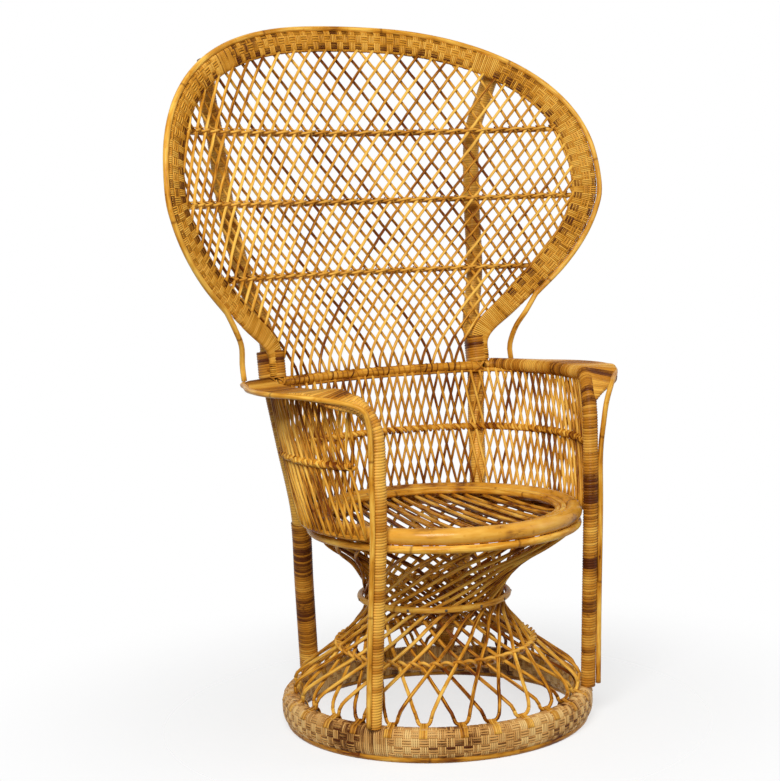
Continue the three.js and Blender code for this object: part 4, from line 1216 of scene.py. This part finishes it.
class CHAIR_OT_seat(bpy.types.Operator):
    """Thick ring, hoops and rods of the seat"""

    bl_idname = "chair.seat"
    bl_label = "Seat"

    ring_share = 0.985  # of the ring's named size, between its knuckles
    knuckle_swell = 0.02
    knuckle_reach = 0.008
    hoop_overlap = 0.002
    rods_below_ring = 0.006
    rod_end_gap = 0.004
    rod_layer_gap = 0.0004
    rod_uneven = 0.0022  # spread of the rods' places
    rod_bow = (0.004, 0.004)  # usual sideways bow of a rod, and its spread
    rod_sag = 0.006
    shortest_half = 0.04

    def execute(self, context):
        s = settings().seat
        y = seat_middle()
        rng = np.random.default_rng(31)
        ring = Weaver()
        steps, tone = 144, 0.5
        path = ring_path(s.ring_radius, s.height, y, steps)
        along = np.arange(steps) * 2 * np.pi * s.ring_radius / steps
        apart, _ = RING_KNUCKLES
        knuckle = np.abs((along / apart + tone * KNUCKLE_SHIFT) % 1 - 0.5) * apart
        swell = 1 + self.knuckle_swell * np.exp(-((knuckle / self.knuckle_reach) ** 2))
        ring.hoop(path, s.ring / 2 * swell * self.ring_share, 18, tone, y)
        settle(ring.object("seat_ring_bamboo", bamboo_ring()), "rattan_gold", "seat_ring")

        under = Weaver()
        under.hoop(ring_path(s.under_radius, under_height(), y, 120), s.under / 2, 12, 0.66, y)
        settle(under.object("seat_under_hoop_rod", bare_rod()), "rattan_honey", "seat_under_hoop")

        inner = Weaver()
        upper = s.height - self.rods_below_ring
        z = upper + s.rod / 2 + s.inner / 2
        radius = s.ring_radius - s.ring / 2 - s.inner / 2 + self.hoop_overlap
        for drop, shrink, tone in ((0.0, 0.0, 0.7), (0.002, 0.0125, 0.55)):
            inner.hoop(ring_path(radius - shrink, z - drop, y, 120), s.inner / 2, 10, tone, y)
        settle(inner.object("seat_inner_hoops", bare_rod()), "rattan_gold", "seat_inner_hoop")

        u = np.linspace(-1, 1, 22)
        reach = radius - self.rod_end_gap
        most = int(reach / s.pitch) + 1
        lower = s.rod + self.rod_layer_gap
        for name, node, shift, drop, tones in (
            ("seat_rods_top", "seat_rods_upper", 0.0, 0.0, (0.36, 0.74)),
            # painted shade: the rods of the lower layer, under the top ones, get darker tones
            ("seat_rods_under", "seat_rods_lower", 0.5, lower, (0.08, 0.36)),
        ):
            rods = Weaver()
            for k in range(-most, most + 1):
                across = (k + shift) * s.pitch + rng.normal(0, self.rod_uneven)
                fan = s.fan * (1 - across / reach) / 2
                cosine = 1 / math.sqrt(1 + fan**2)
                half = math.sqrt(max(reach**2 - (across * cosine) ** 2, 0))
                if half < self.shortest_half:
                    continue
                deep = (half * u - across * fan * cosine) * cosine
                bow = rng.normal(*self.rod_bow) * (1 - u**2)
                sag = self.rod_sag * (1 - u**2)
                path = np.stack([across + fan * deep + bow, y + deep, upper - drop - sag], 1)
                rods.tube(path, s.rod / 2, 8, tone_of(rng, *tones))
            settle(rods.object(name, thin_rod()), "rattan_honey", node)
        return {"FINISHED"}


class CHAIR_OT_arms(bpy.types.Operator):
    """Wound arms that bend down into the front legs, with the bare edge rods"""

    bl_idname = "chair.arms"
    bl_label = "Arms and Front Legs"

    leg_padding = 0.0016
    under_deck = 8  # steps by which the winding of the leg begins under the deck
    deck_gap = 0.0004  # between the arm pole and the deck
    edge_gap = 0.0012  # between the deck and the edge rod
    edge_rounding = 0.005
    narrowest = 0.002
    taper_from = 0.84  # share of the deck's length at which it begins to narrow
    taper = 0.8

    def execute(self, context):
        a = settings().arms
        pole_path, edge_path = arm_paths()
        for side, flip in (("left", mirrored), ("right", np.array)):
            pole_line = flip(pole_path)
            edge_line = flip(edge_path)
            edge = Weaver()
            edge.tube(even(edge_line, 0.012), a.edge / 2, sides=10, tone=0.62)
            made = edge.object(f"{side}_edge_rod_bare", bare_rod())
            settle(made, "rattan_gold", f"{side}_edge_rod")

            made = self.wound_deck(pole_line, edge_line, side)
            settle(made, "cane_brown", f"{side}_arm_deck")

            nodes = (f"{side}_arm_pole", f"{side}_leg_wrap")
            radius = a.pole / 2 + self.leg_padding
            line = pole_line[DECK_END - self.under_deck :]
            name = f"{side}_front_leg_wound"
            wound_pole(name, line, radius, a.wrap, leg_cane(side), "cane_brown", *nodes)
        return {"FINISHED"}

    def wound_deck(self, pole_line, edge_line, side):
        """Cane wound round the arm pole on one side and up to the edge rod on the other."""
        a = settings().arms
        wound_part = slice(1, DECK_END + 1)
        both = np.hstack([pole_line[wound_part], edge_line[wound_part]])
        along = distance_along(both[:, :3])
        at = np.linspace(0, along[-1], int(along[-1] * CANE_STEPS / a.wrap_pitch))
        both = np.stack([np.interp(at, along, both[:, k]) for k in range(6)], 1)
        middle, beside = both[:, :3], both[:, 3:]
        t = tangents(middle)
        out = beside - middle
        out = out - (out * t).sum(1, keepdims=True) * t
        reach = np.linalg.norm(out, axis=1)
        out = unit(out)
        near = a.pole / 2 + self.deck_gap
        far = self.edge_rounding
        taper = (at / along[-1] - self.taper_from) / (1 - self.taper_from)
        closing = np.clip(taper, 0, 1) ** 2
        wide = (reach - a.edge / 2 - far - self.edge_gap) * (1 - self.taper * closing)
        angles = np.linspace(np.pi / 2, 3 * np.pi / 2, 9)
        round_pole = near * np.stack([np.cos(angles), np.sin(angles)], 1)
        angles = np.linspace(-np.pi / 2, np.pi / 2, 7)
        round_edge = far * np.stack([np.cos(angles), np.sin(angles)], 1)
        loop = np.empty((len(middle), 20, 2))
        loop[:, :9] = round_pole
        loop[:, 10:17] = round_edge
        loop[:, 10:17, 0] += np.maximum(wide, self.narrowest)[:, None]
        loop[:, 9] = (loop[:, 8] + loop[:, 10]) / 2
        for k, part in ((17, 0.25), (18, 0.5), (19, 0.75)):
            loop[:, k] = mix(loop[:, 16], loop[:, 0], part)
        if side == "left":
            loop = loop[:, ::-1]
        deck = Weaver()
        deck.wound(middle, loop, a.wrap_pitch, a.wrap, (out, np.cross(t, out)), 0.0)
        return deck.object(f"{side}_arm_wound_deck", wound_cane())


def gallery_lines():
    """Top and foot curves of the gallery from the right leg round the back to the left leg."""
    a, s = settings().arms, settings().seat
    z = a.rail_height - 0.006
    half = [point(x, y, z) for x, y in ARM_PLAN]
    half += [on_hood(part * a.neck, z) for part in (1.0, 0.5)]
    plan = [*half, on_hood(0.0, z), *[mirrored(p) for p in reversed(half)]]
    top = even(spline(plan, 16), 0.004)
    turn = np.linspace(60.0, 300.0, len(top))
    foot = on_circle(s.ring_radius + s.ring / 2 + 0.0075, turn, s.height - 0.004, seat_middle())
    return top, foot


class CHAIR_OT_gallery(bpy.types.Operator):
    """Crossing rods between the seat ring and the arms, with their twined hoop"""

    bl_idname = "chair.gallery"
    bl_label = "Gallery"

    hoop_level = 0.52  # share of the gallery's height
    hoop_wave = 0.017
    hoop_strand = 0.0042
    hoop_gap = 0.002
    end_rod = 0.0052
    layer_gap = 0.0006  # from the middle between the layers to a layer
    uneven = 0.001  # spread of the rods' places, as a share of the gallery
    ripple = 0.00048
    belly = 0.004  # how far the rods bow outward at half their height

    def execute(self, context):
        a = settings().arms
        rng = np.random.default_rng(47)
        top, foot = gallery_lines()
        last = len(top) - 1
        t = tangents(top)
        out = np.stack([t[:, 1], -t[:, 0], np.zeros(len(t))], 1)

        def at(s, height, outside):
            s = np.clip(np.asarray(s, float), 0, 1) * last
            grid = np.arange(last + 1)
            pick = [np.interp(s, grid, line[:, k]) for line in (foot, top, out) for k in range(3)]
            low, high, normal = np.stack(pick, -1).reshape(*s.shape, 3, 3).swapaxes(0, -2)
            bow = 4 * height * (1 - height)
            return mix(low, high, height[:, None]) + (outside + self.belly * bow)[:, None] * normal

        height = np.linspace(0, 1, 13)
        offset = a.gallery_rod / 2 + self.layer_gap
        for name, node, sign in (
            ("gallery_rods_inside", "gallery_rods_inner", 1),
            ("gallery_rods_outside", "gallery_rods_outer", -1),
        ):
            rods = Weaver()
            for k in range(a.gallery_count):
                start = (k + 0.5) / a.gallery_count + rng.normal(0, self.uneven)
                s = start + sign * a.gallery_lean * (height - 0.5)
                ripple = self.ripple * np.sin(height * 9 + k)
                path = at(s, height, ripple - sign * offset)
                rods.tube(path, a.gallery_rod / 2, 7, tone_of(rng, 0.28, 0.8))
            settle(rods.object(name, thin_rod()), "rattan_gold", node)

        hoop = Weaver()
        s = np.linspace(0.004, 0.996, 420)
        for phase, tone in ((0.0, 0.6), (np.pi, 0.34)):
            wave = s * a.gallery_count * np.pi * 2 + phase
            level = self.hoop_level + self.hoop_wave * np.cos(wave)
            path = at(s, level, np.sin(wave) * (2 * offset + self.hoop_gap))
            hoop.tube(path, self.hoop_strand, 7, tone)
        settle(hoop.object("gallery_twined_hoop", thin_rod()), "cane_brown", "gallery_mid_hoop")

        rims = Weaver()
        s = np.linspace(0.0, 1.0, 240)
        for level, tone in ((0.0, 0.45), (0.985, 0.5)):
            rims.tube(at(s, np.full(240, level), np.zeros(240)), self.end_rod, 8, tone)
        settle(rims.object("gallery_end_rods", bare_rod()), "rattan_honey")
        return {"FINISHED"}


def rail_axes(x):
    """A point of the back rail, the direction along the rail and the direction behind it."""
    height = settings().arms.rail_height
    middle = on_hood(x, height)
    ahead = unit(on_hood(x + 0.01, height) - middle)
    return middle, ahead, unit(np.cross(UP, ahead))


class CHAIR_OT_back_rail(bpy.types.Operator):
    """Bare rail between the necks, with the thin lashings of the rods"""

    bl_idname = "chair.back_rail"
    bl_label = "Back Rail"

    tie_cane = (0.0026, 0.001)  # width and thickness
    tie_gap = 0.0004
    tie_skew = 0.0018  # spread of how far the ties lean
    free_ends = (0.012, 0.01)  # without ties, at the left and the right neck

    def execute(self, context):
        a, h = settings().arms, settings().hood
        rng = np.random.default_rng(53)
        rail = Weaver()
        x = np.linspace(-a.neck, a.neck, 60)
        rail.tube(on_hood(x, a.rail_height), a.rail / 2, sides=12, tone=0.55)
        settle(rail.object("back_rail_rod", bare_rod()), "rattan_honey", "back_rail")

        ties = Weaver()
        turn = np.linspace(0, 2 * np.pi, 14, endpoint=False)[:, None]
        left, right = self.free_ends
        for spot in np.arange(-a.neck + left, a.neck - right, h.pitch / 2):
            middle, ahead, back = rail_axes(spot)
            face = np.cos(turn) * back + np.sin(turn) * UP
            skew = rng.normal(0, self.tie_skew) * np.sin(turn) * ahead
            ring = middle + (a.rail / 2 + self.tie_gap) * face + skew
            ties.strap(ring, face, *self.tie_cane, tone_of(rng, 0.12, 0.6), True)
        settle(ties.object("back_rail_lashings", woven_cane()), "cane_brown")
        return {"FINISHED"}


class CHAIR_OT_uprights(bpy.types.Operator):
    """Poles behind the hood that run down as the rear legs"""

    bl_idname = "chair.uprights"
    bl_label = "Uprights and Rear Legs"

    leg_below_seat = 0.022
    thin_cane = 0.0014

    def execute(self, context):
        h, a, s = settings().hood, settings().arms, settings().seat
        line = upright_path()
        below = int(np.argmax(line[:, 2] < s.height - self.leg_below_seat))
        overlap, slot = 6, "bamboo_dark"
        for side, flip in (("left", mirrored), ("right", np.array)):
            name, node = f"{side}_upright_pole", f"{side}_upright"
            path, radius = flip(line[: below + overlap]), h.upright / 2 - 0.0004
            wound_pole(name, path, radius, self.thin_cane, pole_cane(), slot, node)
            name, node = f"{side}_rear_leg_wound", f"{side}_rear_leg_wrap"
            path, radius = flip(line[below:]), h.upright / 2 + 0.0012
            wound_pole(name, path, radius, a.wrap, dark_wound_cane(), slot, node)
        return {"FINISHED"}


class CHAIR_OT_hood_rim(bpy.types.Operator):
    """Bare rim rod of the hood with its S-shaped ends"""

    bl_idname = "chair.hood_rim"
    bl_label = "Hood Rim"

    # Shares of the way sideways and down from the arch to the arm, and metres further back.
    bends = ((0.98, 0.78, 0.013), (0.84, 0.5, 0.007), (0.45, 0.26, 0.0))

    def execute(self, context):
        h, a = settings().hood, settings().arms
        flat = inset_outline(h.rim / 2)[RIM_FROM:-RIM_FROM]
        arch = on_hood(flat[:, 0], flat[:, 1])
        _, edge = arm_paths()
        foot = edge[0] + point(0, 0, a.edge / 2)
        bends = []
        for aside, down, back in self.bends:
            bend = mix(arch[0], foot, down) + point(0, back, 0)
            bend[0] = mix(arch[0][0], foot[0], aside)
            bends.append(bend)
        end = spline([foot, *bends, arch[0], arch[1]], 10)[:-10]
        path = np.vstack([end, arch[1:-1], mirrored(end)[::-1]])
        path = even(path, 0.012)
        rim = Weaver()
        rim.tube(path, h.rim / 2, 12, 0.66)
        settle(rim.object("hood_rim_bare_rod", bare_rod()), "rattan_gold", "hood_rim_rod")
        return {"FINISHED"}


class CHAIR_OT_hood_border(bpy.types.Operator):
    """Woven border inside the rim"""

    bl_idname = "chair.hood_border"
    bl_label = "Hood Border"

    weave_cells = (0.0155, 6)  # length of a block, and blocks round the border
    weave_depth = 0.0007
    neck_narrowing = 0.26
    narrowing_run = 0.2
    wound_ends = 0.16
    binding_from_top = 0.345  # along the border to the bindings on both sides of the top
    binding_half = 0.026
    core_depth = 0.0016
    rounding = 0.55

    def execute(self, context):
        h = settings().hood
        flat = inset_outline(h.rim + h.border_width / 2)
        path = even(on_hood(flat[:, 0], flat[:, 1]), 0.004)
        normal = hood_normal(path)
        t, first, second = rolled_axes(path, toward=normal)
        flat_along = unit(t[:, ::2])
        slope = 2 * h.curl * path[:, 0] * flat_along[:, 1] + h.lean * flat_along[:, 0]
        along = distance_along(path)
        run = along[-1]
        to_end = np.minimum(along, run - along)
        narrow = 1 - self.neck_narrowing * np.clip(1 - to_end / self.narrowing_run, 0, 1)
        second = second * (narrow * np.sqrt(1 + slope**2))[:, None]
        grid = np.arange(len(path))

        def place(s):
            i = np.interp(s, along, grid)
            low = min(int(i), len(path) - 2)
            part = i - low
            return tuple(mix(line[low], line[low + 1], part) for line in (path, first, second))

        def plain(s):
            near_end = min(s, run - s) < self.wound_ends
            from_binding = abs(abs(s - run / 2) - self.binding_from_top)
            return bool(near_end or from_binding < self.binding_half)

        half = (h.border_thickness / 2 - self.weave_depth, h.border_width / 2)
        section = blunt_section(*half, 24, self.rounding)
        weave = woven_band(place, run, False, section, self.weave_cells, plain, seed=61)
        settle(weave.object("hood_border_weave", hood_cane()), "cane_brown", "hood_border")

        # near-black core under the weave, painted shade that shows in its gaps
        core = Weaver()
        ring = blunt_section(*[side - self.core_depth for side in half], 14, self.rounding)
        core.skin(path, (first, second), ring, along, 0.4)
        settle(core.object("hood_border_core_painted_shade", weave_core_painted_shade()), "cane_brown")
        return {"FINISHED"}


# Heights, with how far a lattice rod has run sideways by then.
LATTICE_RUN = (
    (NECK_LOW, 0.0),
    (0.79, 0.021),
    (0.87, 0.074),
    (STAYS["bottom"], 0.1325),
    (STAYS["middle"], 0.2385),
    (STAYS["top"], 0.331),
    (1.447, 0.4345),
)


def lattice_run(z):
    """Sideways run of a lattice rod at a height, before the rods spread apart."""
    line = spline(LATTICE_RUN, 12)
    return np.interp(z, line[:, 0], line[:, 1])


def lattice_spread(x, z):
    """The rods stand further apart toward the top and closer together toward the wings."""
    h = settings().hood
    x = x * (1 + h.spread * (z - NECK_LOW) / (LATTICE_RUN[-1][0] - NECK_LOW))
    furthest = 0.8
    x = np.clip(x, -furthest, furthest)
    return x * (1 - 0.45 * x**2)


class CHAIR_OT_hood_lattice(bpy.types.Operator):
    """Two layers of slanted rods, and three stays behind them with their lashings"""

    bl_idname = "chair.hood_lattice"
    bl_label = "Hood Lattice and Stays"

    under_border = 0.004  # how far the rods reach under the border
    into_rail = 0.002
    layer_gap = 0.0005
    uneven = 0.0005  # spread of the rods' wobble
    stay_sink = 0.0006
    twine = 0.0027  # radius of the two strands that twine round the rods at each stay
    twine_gap = 0.0014
    twine_wave = 0.002
    tie_cane = (0.0034, 0.001)  # width and thickness
    tie_gap = 0.0008
    tie_room = 0.0022
    tie_slant = 0.0095
    free_end = 0.6  # share of the border's width at a stay's ends that has no ties
    shortest = 14  # samples of height that a rod runs at least

    def execute(self, context):
        h, a = settings().hood, settings().arms
        rng = np.random.default_rng(71)
        edge = inset_outline(h.rim + h.border_width - self.under_border)
        right = edge[: len(edge) // 2 + 1]
        low = a.rail_height + a.rail / 2 - self.into_rail
        top = right[-1, 1]
        z = np.linspace(low, top, 500)
        order = np.maximum.accumulate(right[:, 1])
        limit = np.interp(z, order, right[:, 0])
        most = int((h.half_width + 0.5) / h.pitch)
        layer = h.rod / 2 + self.layer_gap
        for name, node, sign, tones in (
            ("hood_rods_front", "hood_lattice_front", 1, (0.36, 0.95)),
            # painted shade: the rods of the back layer, behind the front ones, get darker tones
            ("hood_rods_back", "hood_lattice_back", -1, (0.2, 0.75)),
        ):
            rods = Weaver()
            for k in range(-most, most + 1):
                x = lattice_spread((k + 0.5) * h.pitch + sign * lattice_run(z), z)
                inside = np.abs(x) <= limit
                changes = np.flatnonzero(np.diff(np.concatenate([[0], inside.astype(int), [0]])))
                runs = sorted(zip(changes[::2], changes[1::2]), key=lambda run: run[1] - run[0])
                if not runs or runs[-1][1] - runs[-1][0] < self.shortest:
                    continue
                i, j = runs[-1]
                path = even(on_hood(x[i:j], z[i:j], -sign * layer), 0.02)
                path[:, 0] += rng.normal(0, self.uneven, len(path))
                rods.tube(path, h.rod / 2, 8, tone_of(rng, *tones))
            settle(rods.object(name, thin_rod()), "rattan_gold", node)

        ties = Weaver()
        behind = 2 * layer + h.rod / 2 + h.stay / 2 - self.stay_sink
        front = -layer - h.rod / 2 - self.tie_gap
        deep = (behind + h.stay / 2 - front) / 2
        around_rods = layer + h.rod / 2 + self.twine_gap
        for name, z_stay in STAYS.items():
            half = float(np.interp(z_stay, order, right[:, 0])) + h.border_width / 2
            path = on_hood(np.linspace(-half, half, 80), z_stay, behind)
            stay = Weaver()
            stay.tube(path, h.stay / 2, 10, tone_of(rng, 0.5, 0.72))
            made = stay.object(f"hood_stay_{name}_rod", bare_rod())
            settle(made, "rattan_honey", f"hood_stay_{name}")

            place = np.linspace(-most, most, 16 * most + 1)
            x = lattice_spread((place + 0.5) * h.pitch + lattice_run(z_stay), z_stay)
            inside = np.abs(x) < half - h.border_width
            for phase, tone in ((0.0, 0.88), (np.pi, 0.7)):
                wave = np.pi * place[inside] + phase
                twine_z = z_stay + self.twine_wave * np.sin(wave)
                path = on_hood(x[inside], twine_z, -around_rods * np.cos(wave))
                ties.tube(path, self.twine, 7, tone)
            for k in range(-most, most + 1):
                spot = float(lattice_spread((k + 0.5) * h.pitch + lattice_run(z_stay), z_stay))
                if abs(spot) > half - h.border_width * self.free_end:
                    continue
                centre = on_hood(spot, z_stay, front + deep)
                normal = hood_normal(centre)
                ahead = unit(on_hood(spot + 0.01, z_stay) - on_hood(spot, z_stay))
                axes = (np.cross(ahead, normal), normal)
                halves = (h.stay / 2 + self.tie_room, deep)
                for slant in (-self.tie_slant * ahead, self.tie_slant * ahead):
                    tone = tone_of(rng, 0.55, 0.98)
                    ties.lash(centre, axes, halves, slant, 14, self.tie_cane, tone)
        settle(ties.object("hood_stay_lashings", woven_cane()), "cane_brown")
        return {"FINISHED"}


class CHAIR_OT_bindings(bpy.types.Operator):
    """Wound cane at the necks and the crossed lashings under them"""

    bl_idname = "chair.bindings"
    bl_label = "Neck Bindings"

    inward = 0.005
    below = 0.004
    above = 0.054
    padding = (0.0005, 0.0015)  # along the hood and from front to back
    rounding = 0.75
    lashing_cane = (0.0034, 0.0012)  # width and thickness
    lashing_room = (0.003, 0.0035)  # above the pole and behind the upright
    lashing_shift = 0.001
    lashing_slants = (-0.014, -0.011, 0.011, 0.014)

    def execute(self, context):
        h, a = settings().hood, settings().arms
        rng = np.random.default_rng(83)
        deep = a.pole / 2 + POLE_GAP + h.upright + h.border_thickness / 2
        middle = deep / 2 - h.border_thickness / 2
        aside, back = self.padding
        half = (h.border_width / 2 + aside, deep / 2 + back)
        section = blunt_section(*half, 28, self.rounding)
        for side, flip in (("left", -1), ("right", 1)):
            x = flip * (a.neck - self.inward)
            z = np.linspace(NECK_LOW - self.below, NECK_LOW + self.above, 60)
            path = even(on_hood(x, z, middle), a.wrap_pitch / CANE_STEPS)
            axes = rolled_axes(path, toward=point(1, -2 * h.curl * x, 0))[1:]
            wrap = Weaver()
            wrap.wound(path, section, a.wrap_pitch, a.wrap, axes)
            made = wrap.object(f"{side}_neck_wound", wound_cane())
            settle(made, "cane_brown", f"{side}_neck_binding")

            cross = Weaver()
            spot, ahead, back = rail_axes(x)
            centre = spot + (h.upright / 2 + self.lashing_shift) * back
            over, behind = self.lashing_room
            halves = (a.pole / 2 + over, a.pole / 2 + h.upright / 2 + behind)
            for slant in self.lashing_slants:
                tone = tone_of(rng, 0.45, 0.85)
                cross.lash(centre, (UP, back), halves, slant * ahead, 20, self.lashing_cane, tone)
            settle(cross.object(f"{side}_neck_lashing", woven_cane()), "cane_brown")
        return {"FINISHED"}


class CHAIR_OT_stage(bpy.types.Operator):
    """Pale floor, soft lights, world and camera"""

    bl_idname = "chair.stage"
    bl_label = "Stage"

    floor_edge = 30.0
    floor_fade = (1.15, 0.35)  # distances from the middle where the floor is gone and strongest
    floor_strength = 0.32
    key_place, key_size = (-2.2, -2.9, 3.1), 2.2
    fill_place, fill_size = (2.9, -2.2, 2.0), 2.6
    lamp_aim = (0, 0, 0.75)
    camera_place = (-1.7301, -3.0436, 1.0828)  # from the middle of the base
    camera_turn = (83.867, 1.862, -28.504)  # degrees

    def execute(self, context):
        scene = context.scene
        stage = settings().stage
        mesh = bpy.data.meshes.new("floor")
        edge = self.floor_edge
        corners = [(-edge, -edge, 0), (edge, -edge, 0), (edge, edge, 0), (-edge, edge, 0)]
        mesh.from_pydata(corners, [], [(0, 1, 2, 3)])
        floor = bpy.data.objects.new("floor", mesh)
        scene.collection.objects.link(floor)
        mesh.materials.append(self.floor_finish())

        for name, place, power, size in (
            ("key_light", self.key_place, stage.key, self.key_size),
            ("fill_light", self.fill_place, stage.fill, self.fill_size),
        ):
            light = bpy.data.lights.new(name, "AREA")
            light.energy = power
            light.shape = "DISK"
            light.size = size
            lamp = bpy.data.objects.new(name, light)
            lamp.location = place
            aim = Vector(self.lamp_aim) - Vector(place)
            lamp.rotation_euler = aim.to_track_quat("-Z", "Y").to_euler()
            scene.collection.objects.link(lamp)

        world = bpy.data.worlds.new("studio")
        world.use_nodes = True
        tree = world.node_tree
        background = tree.nodes["Background"]
        background.inputs["Color"].default_value = WHITE
        rays = add_node(tree, "ShaderNodeLightPath").outputs
        seen = math_node(tree, "MAXIMUM", rays["Is Camera Ray"], rays["Is Transmission Ray"])
        seen = math_node(tree, "MAXIMUM", seen, rays["Is Glossy Ray"])
        strength = math_node(tree, "MULTIPLY_ADD", seen, 1.0 - stage.sky, stage.sky)
        tree.links.new(strength, background.inputs["Strength"])
        scene.world = world

        scene.view_settings.view_transform = "Standard"
        camera_data = bpy.data.cameras.new("photo_camera")
        camera_data.sensor_fit = "HORIZONTAL"
        camera_data.sensor_width = 36.0
        camera_data.lens = stage.lens
        camera = bpy.data.objects.new("photo_camera", camera_data)
        x, y, z = self.camera_place
        camera.location = (x, y + BASE_Y, z)
        camera.rotation_euler = [math.radians(angle) for angle in self.camera_turn]
        scene.collection.objects.link(camera)
        scene.camera = camera
        return {"FINISHED"}

    def floor_finish(self):
        """Pale floor with the chair's shadow that fades into the white world further out."""
        material, tree, shader = new_finish("pale_floor")
        if tree is None:
            return material
        pale = tuple(settings().colours.floor)
        paler = tuple(part * 1.02 for part in pale)
        place = add_node(tree, "ShaderNodeNewGeometry").outputs["Position"]
        cloud = noise(tree, place, scale=1.5, detail=2.0)
        tree.links.new(mix_colours(tree, cloud, pale, paler), shader.inputs["Base Color"])
        away = add_node(tree, "ShaderNodeVectorMath", operation="LENGTH")
        tree.links.new(place, away.inputs[0])
        near = ease(tree, away.outputs["Value"], *self.floor_fade)
        cover = math_node(tree, "MULTIPLY", near, self.floor_strength)
        tree.links.new(cover, shader.inputs["Alpha"])
        shader.inputs["Roughness"].default_value = 0.9
        shader.inputs["Specular IOR Level"].default_value = 0.1
        return material


PIECES = (
    CHAIR_OT_base_hoops,
    CHAIR_OT_base_border,
    CHAIR_OT_base_rods,
    CHAIR_OT_seat,
    CHAIR_OT_arms,
    CHAIR_OT_gallery,
    CHAIR_OT_back_rail,
    CHAIR_OT_uprights,
    CHAIR_OT_hood_rim,
    CHAIR_OT_hood_border,
    CHAIR_OT_hood_lattice,
    CHAIR_OT_bindings,
    CHAIR_OT_stage,
)


class CHAIR_PT_pieces(bpy.types.Panel):
    """Lists the pieces of the chair"""

    bl_idname = "CHAIR_PT_pieces"
    bl_label = "Rattan Peacock Chair"
    bl_space_type = "VIEW_3D"
    bl_region_type = "UI"
    bl_category = "Chair"

    def draw(self, context):
        for piece in PIECES:
            self.layout.operator(piece.bl_idname)


CLASSES = (
    ChairColours,
    BaseSizes,
    SeatSizes,
    ArmSizes,
    HoodSizes,
    StageSettings,
    ChairSettings,
    *PIECES,
    CHAIR_PT_pieces,
)


def register():
    for made in CLASSES:
        bpy.utils.register_class(made)
    bpy.types.Scene.rattan_chair = bpy.props.PointerProperty(type=ChairSettings)


def unregister():
    del bpy.types.Scene.rattan_chair
    for made in reversed(CLASSES):
        bpy.utils.unregister_class(made)


def main():
    register()
    for piece in PIECES:
        group, name = piece.bl_idname.split(".")
        getattr(getattr(bpy.ops, group), name)()
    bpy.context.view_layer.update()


if __name__ == "__main__":
    main()
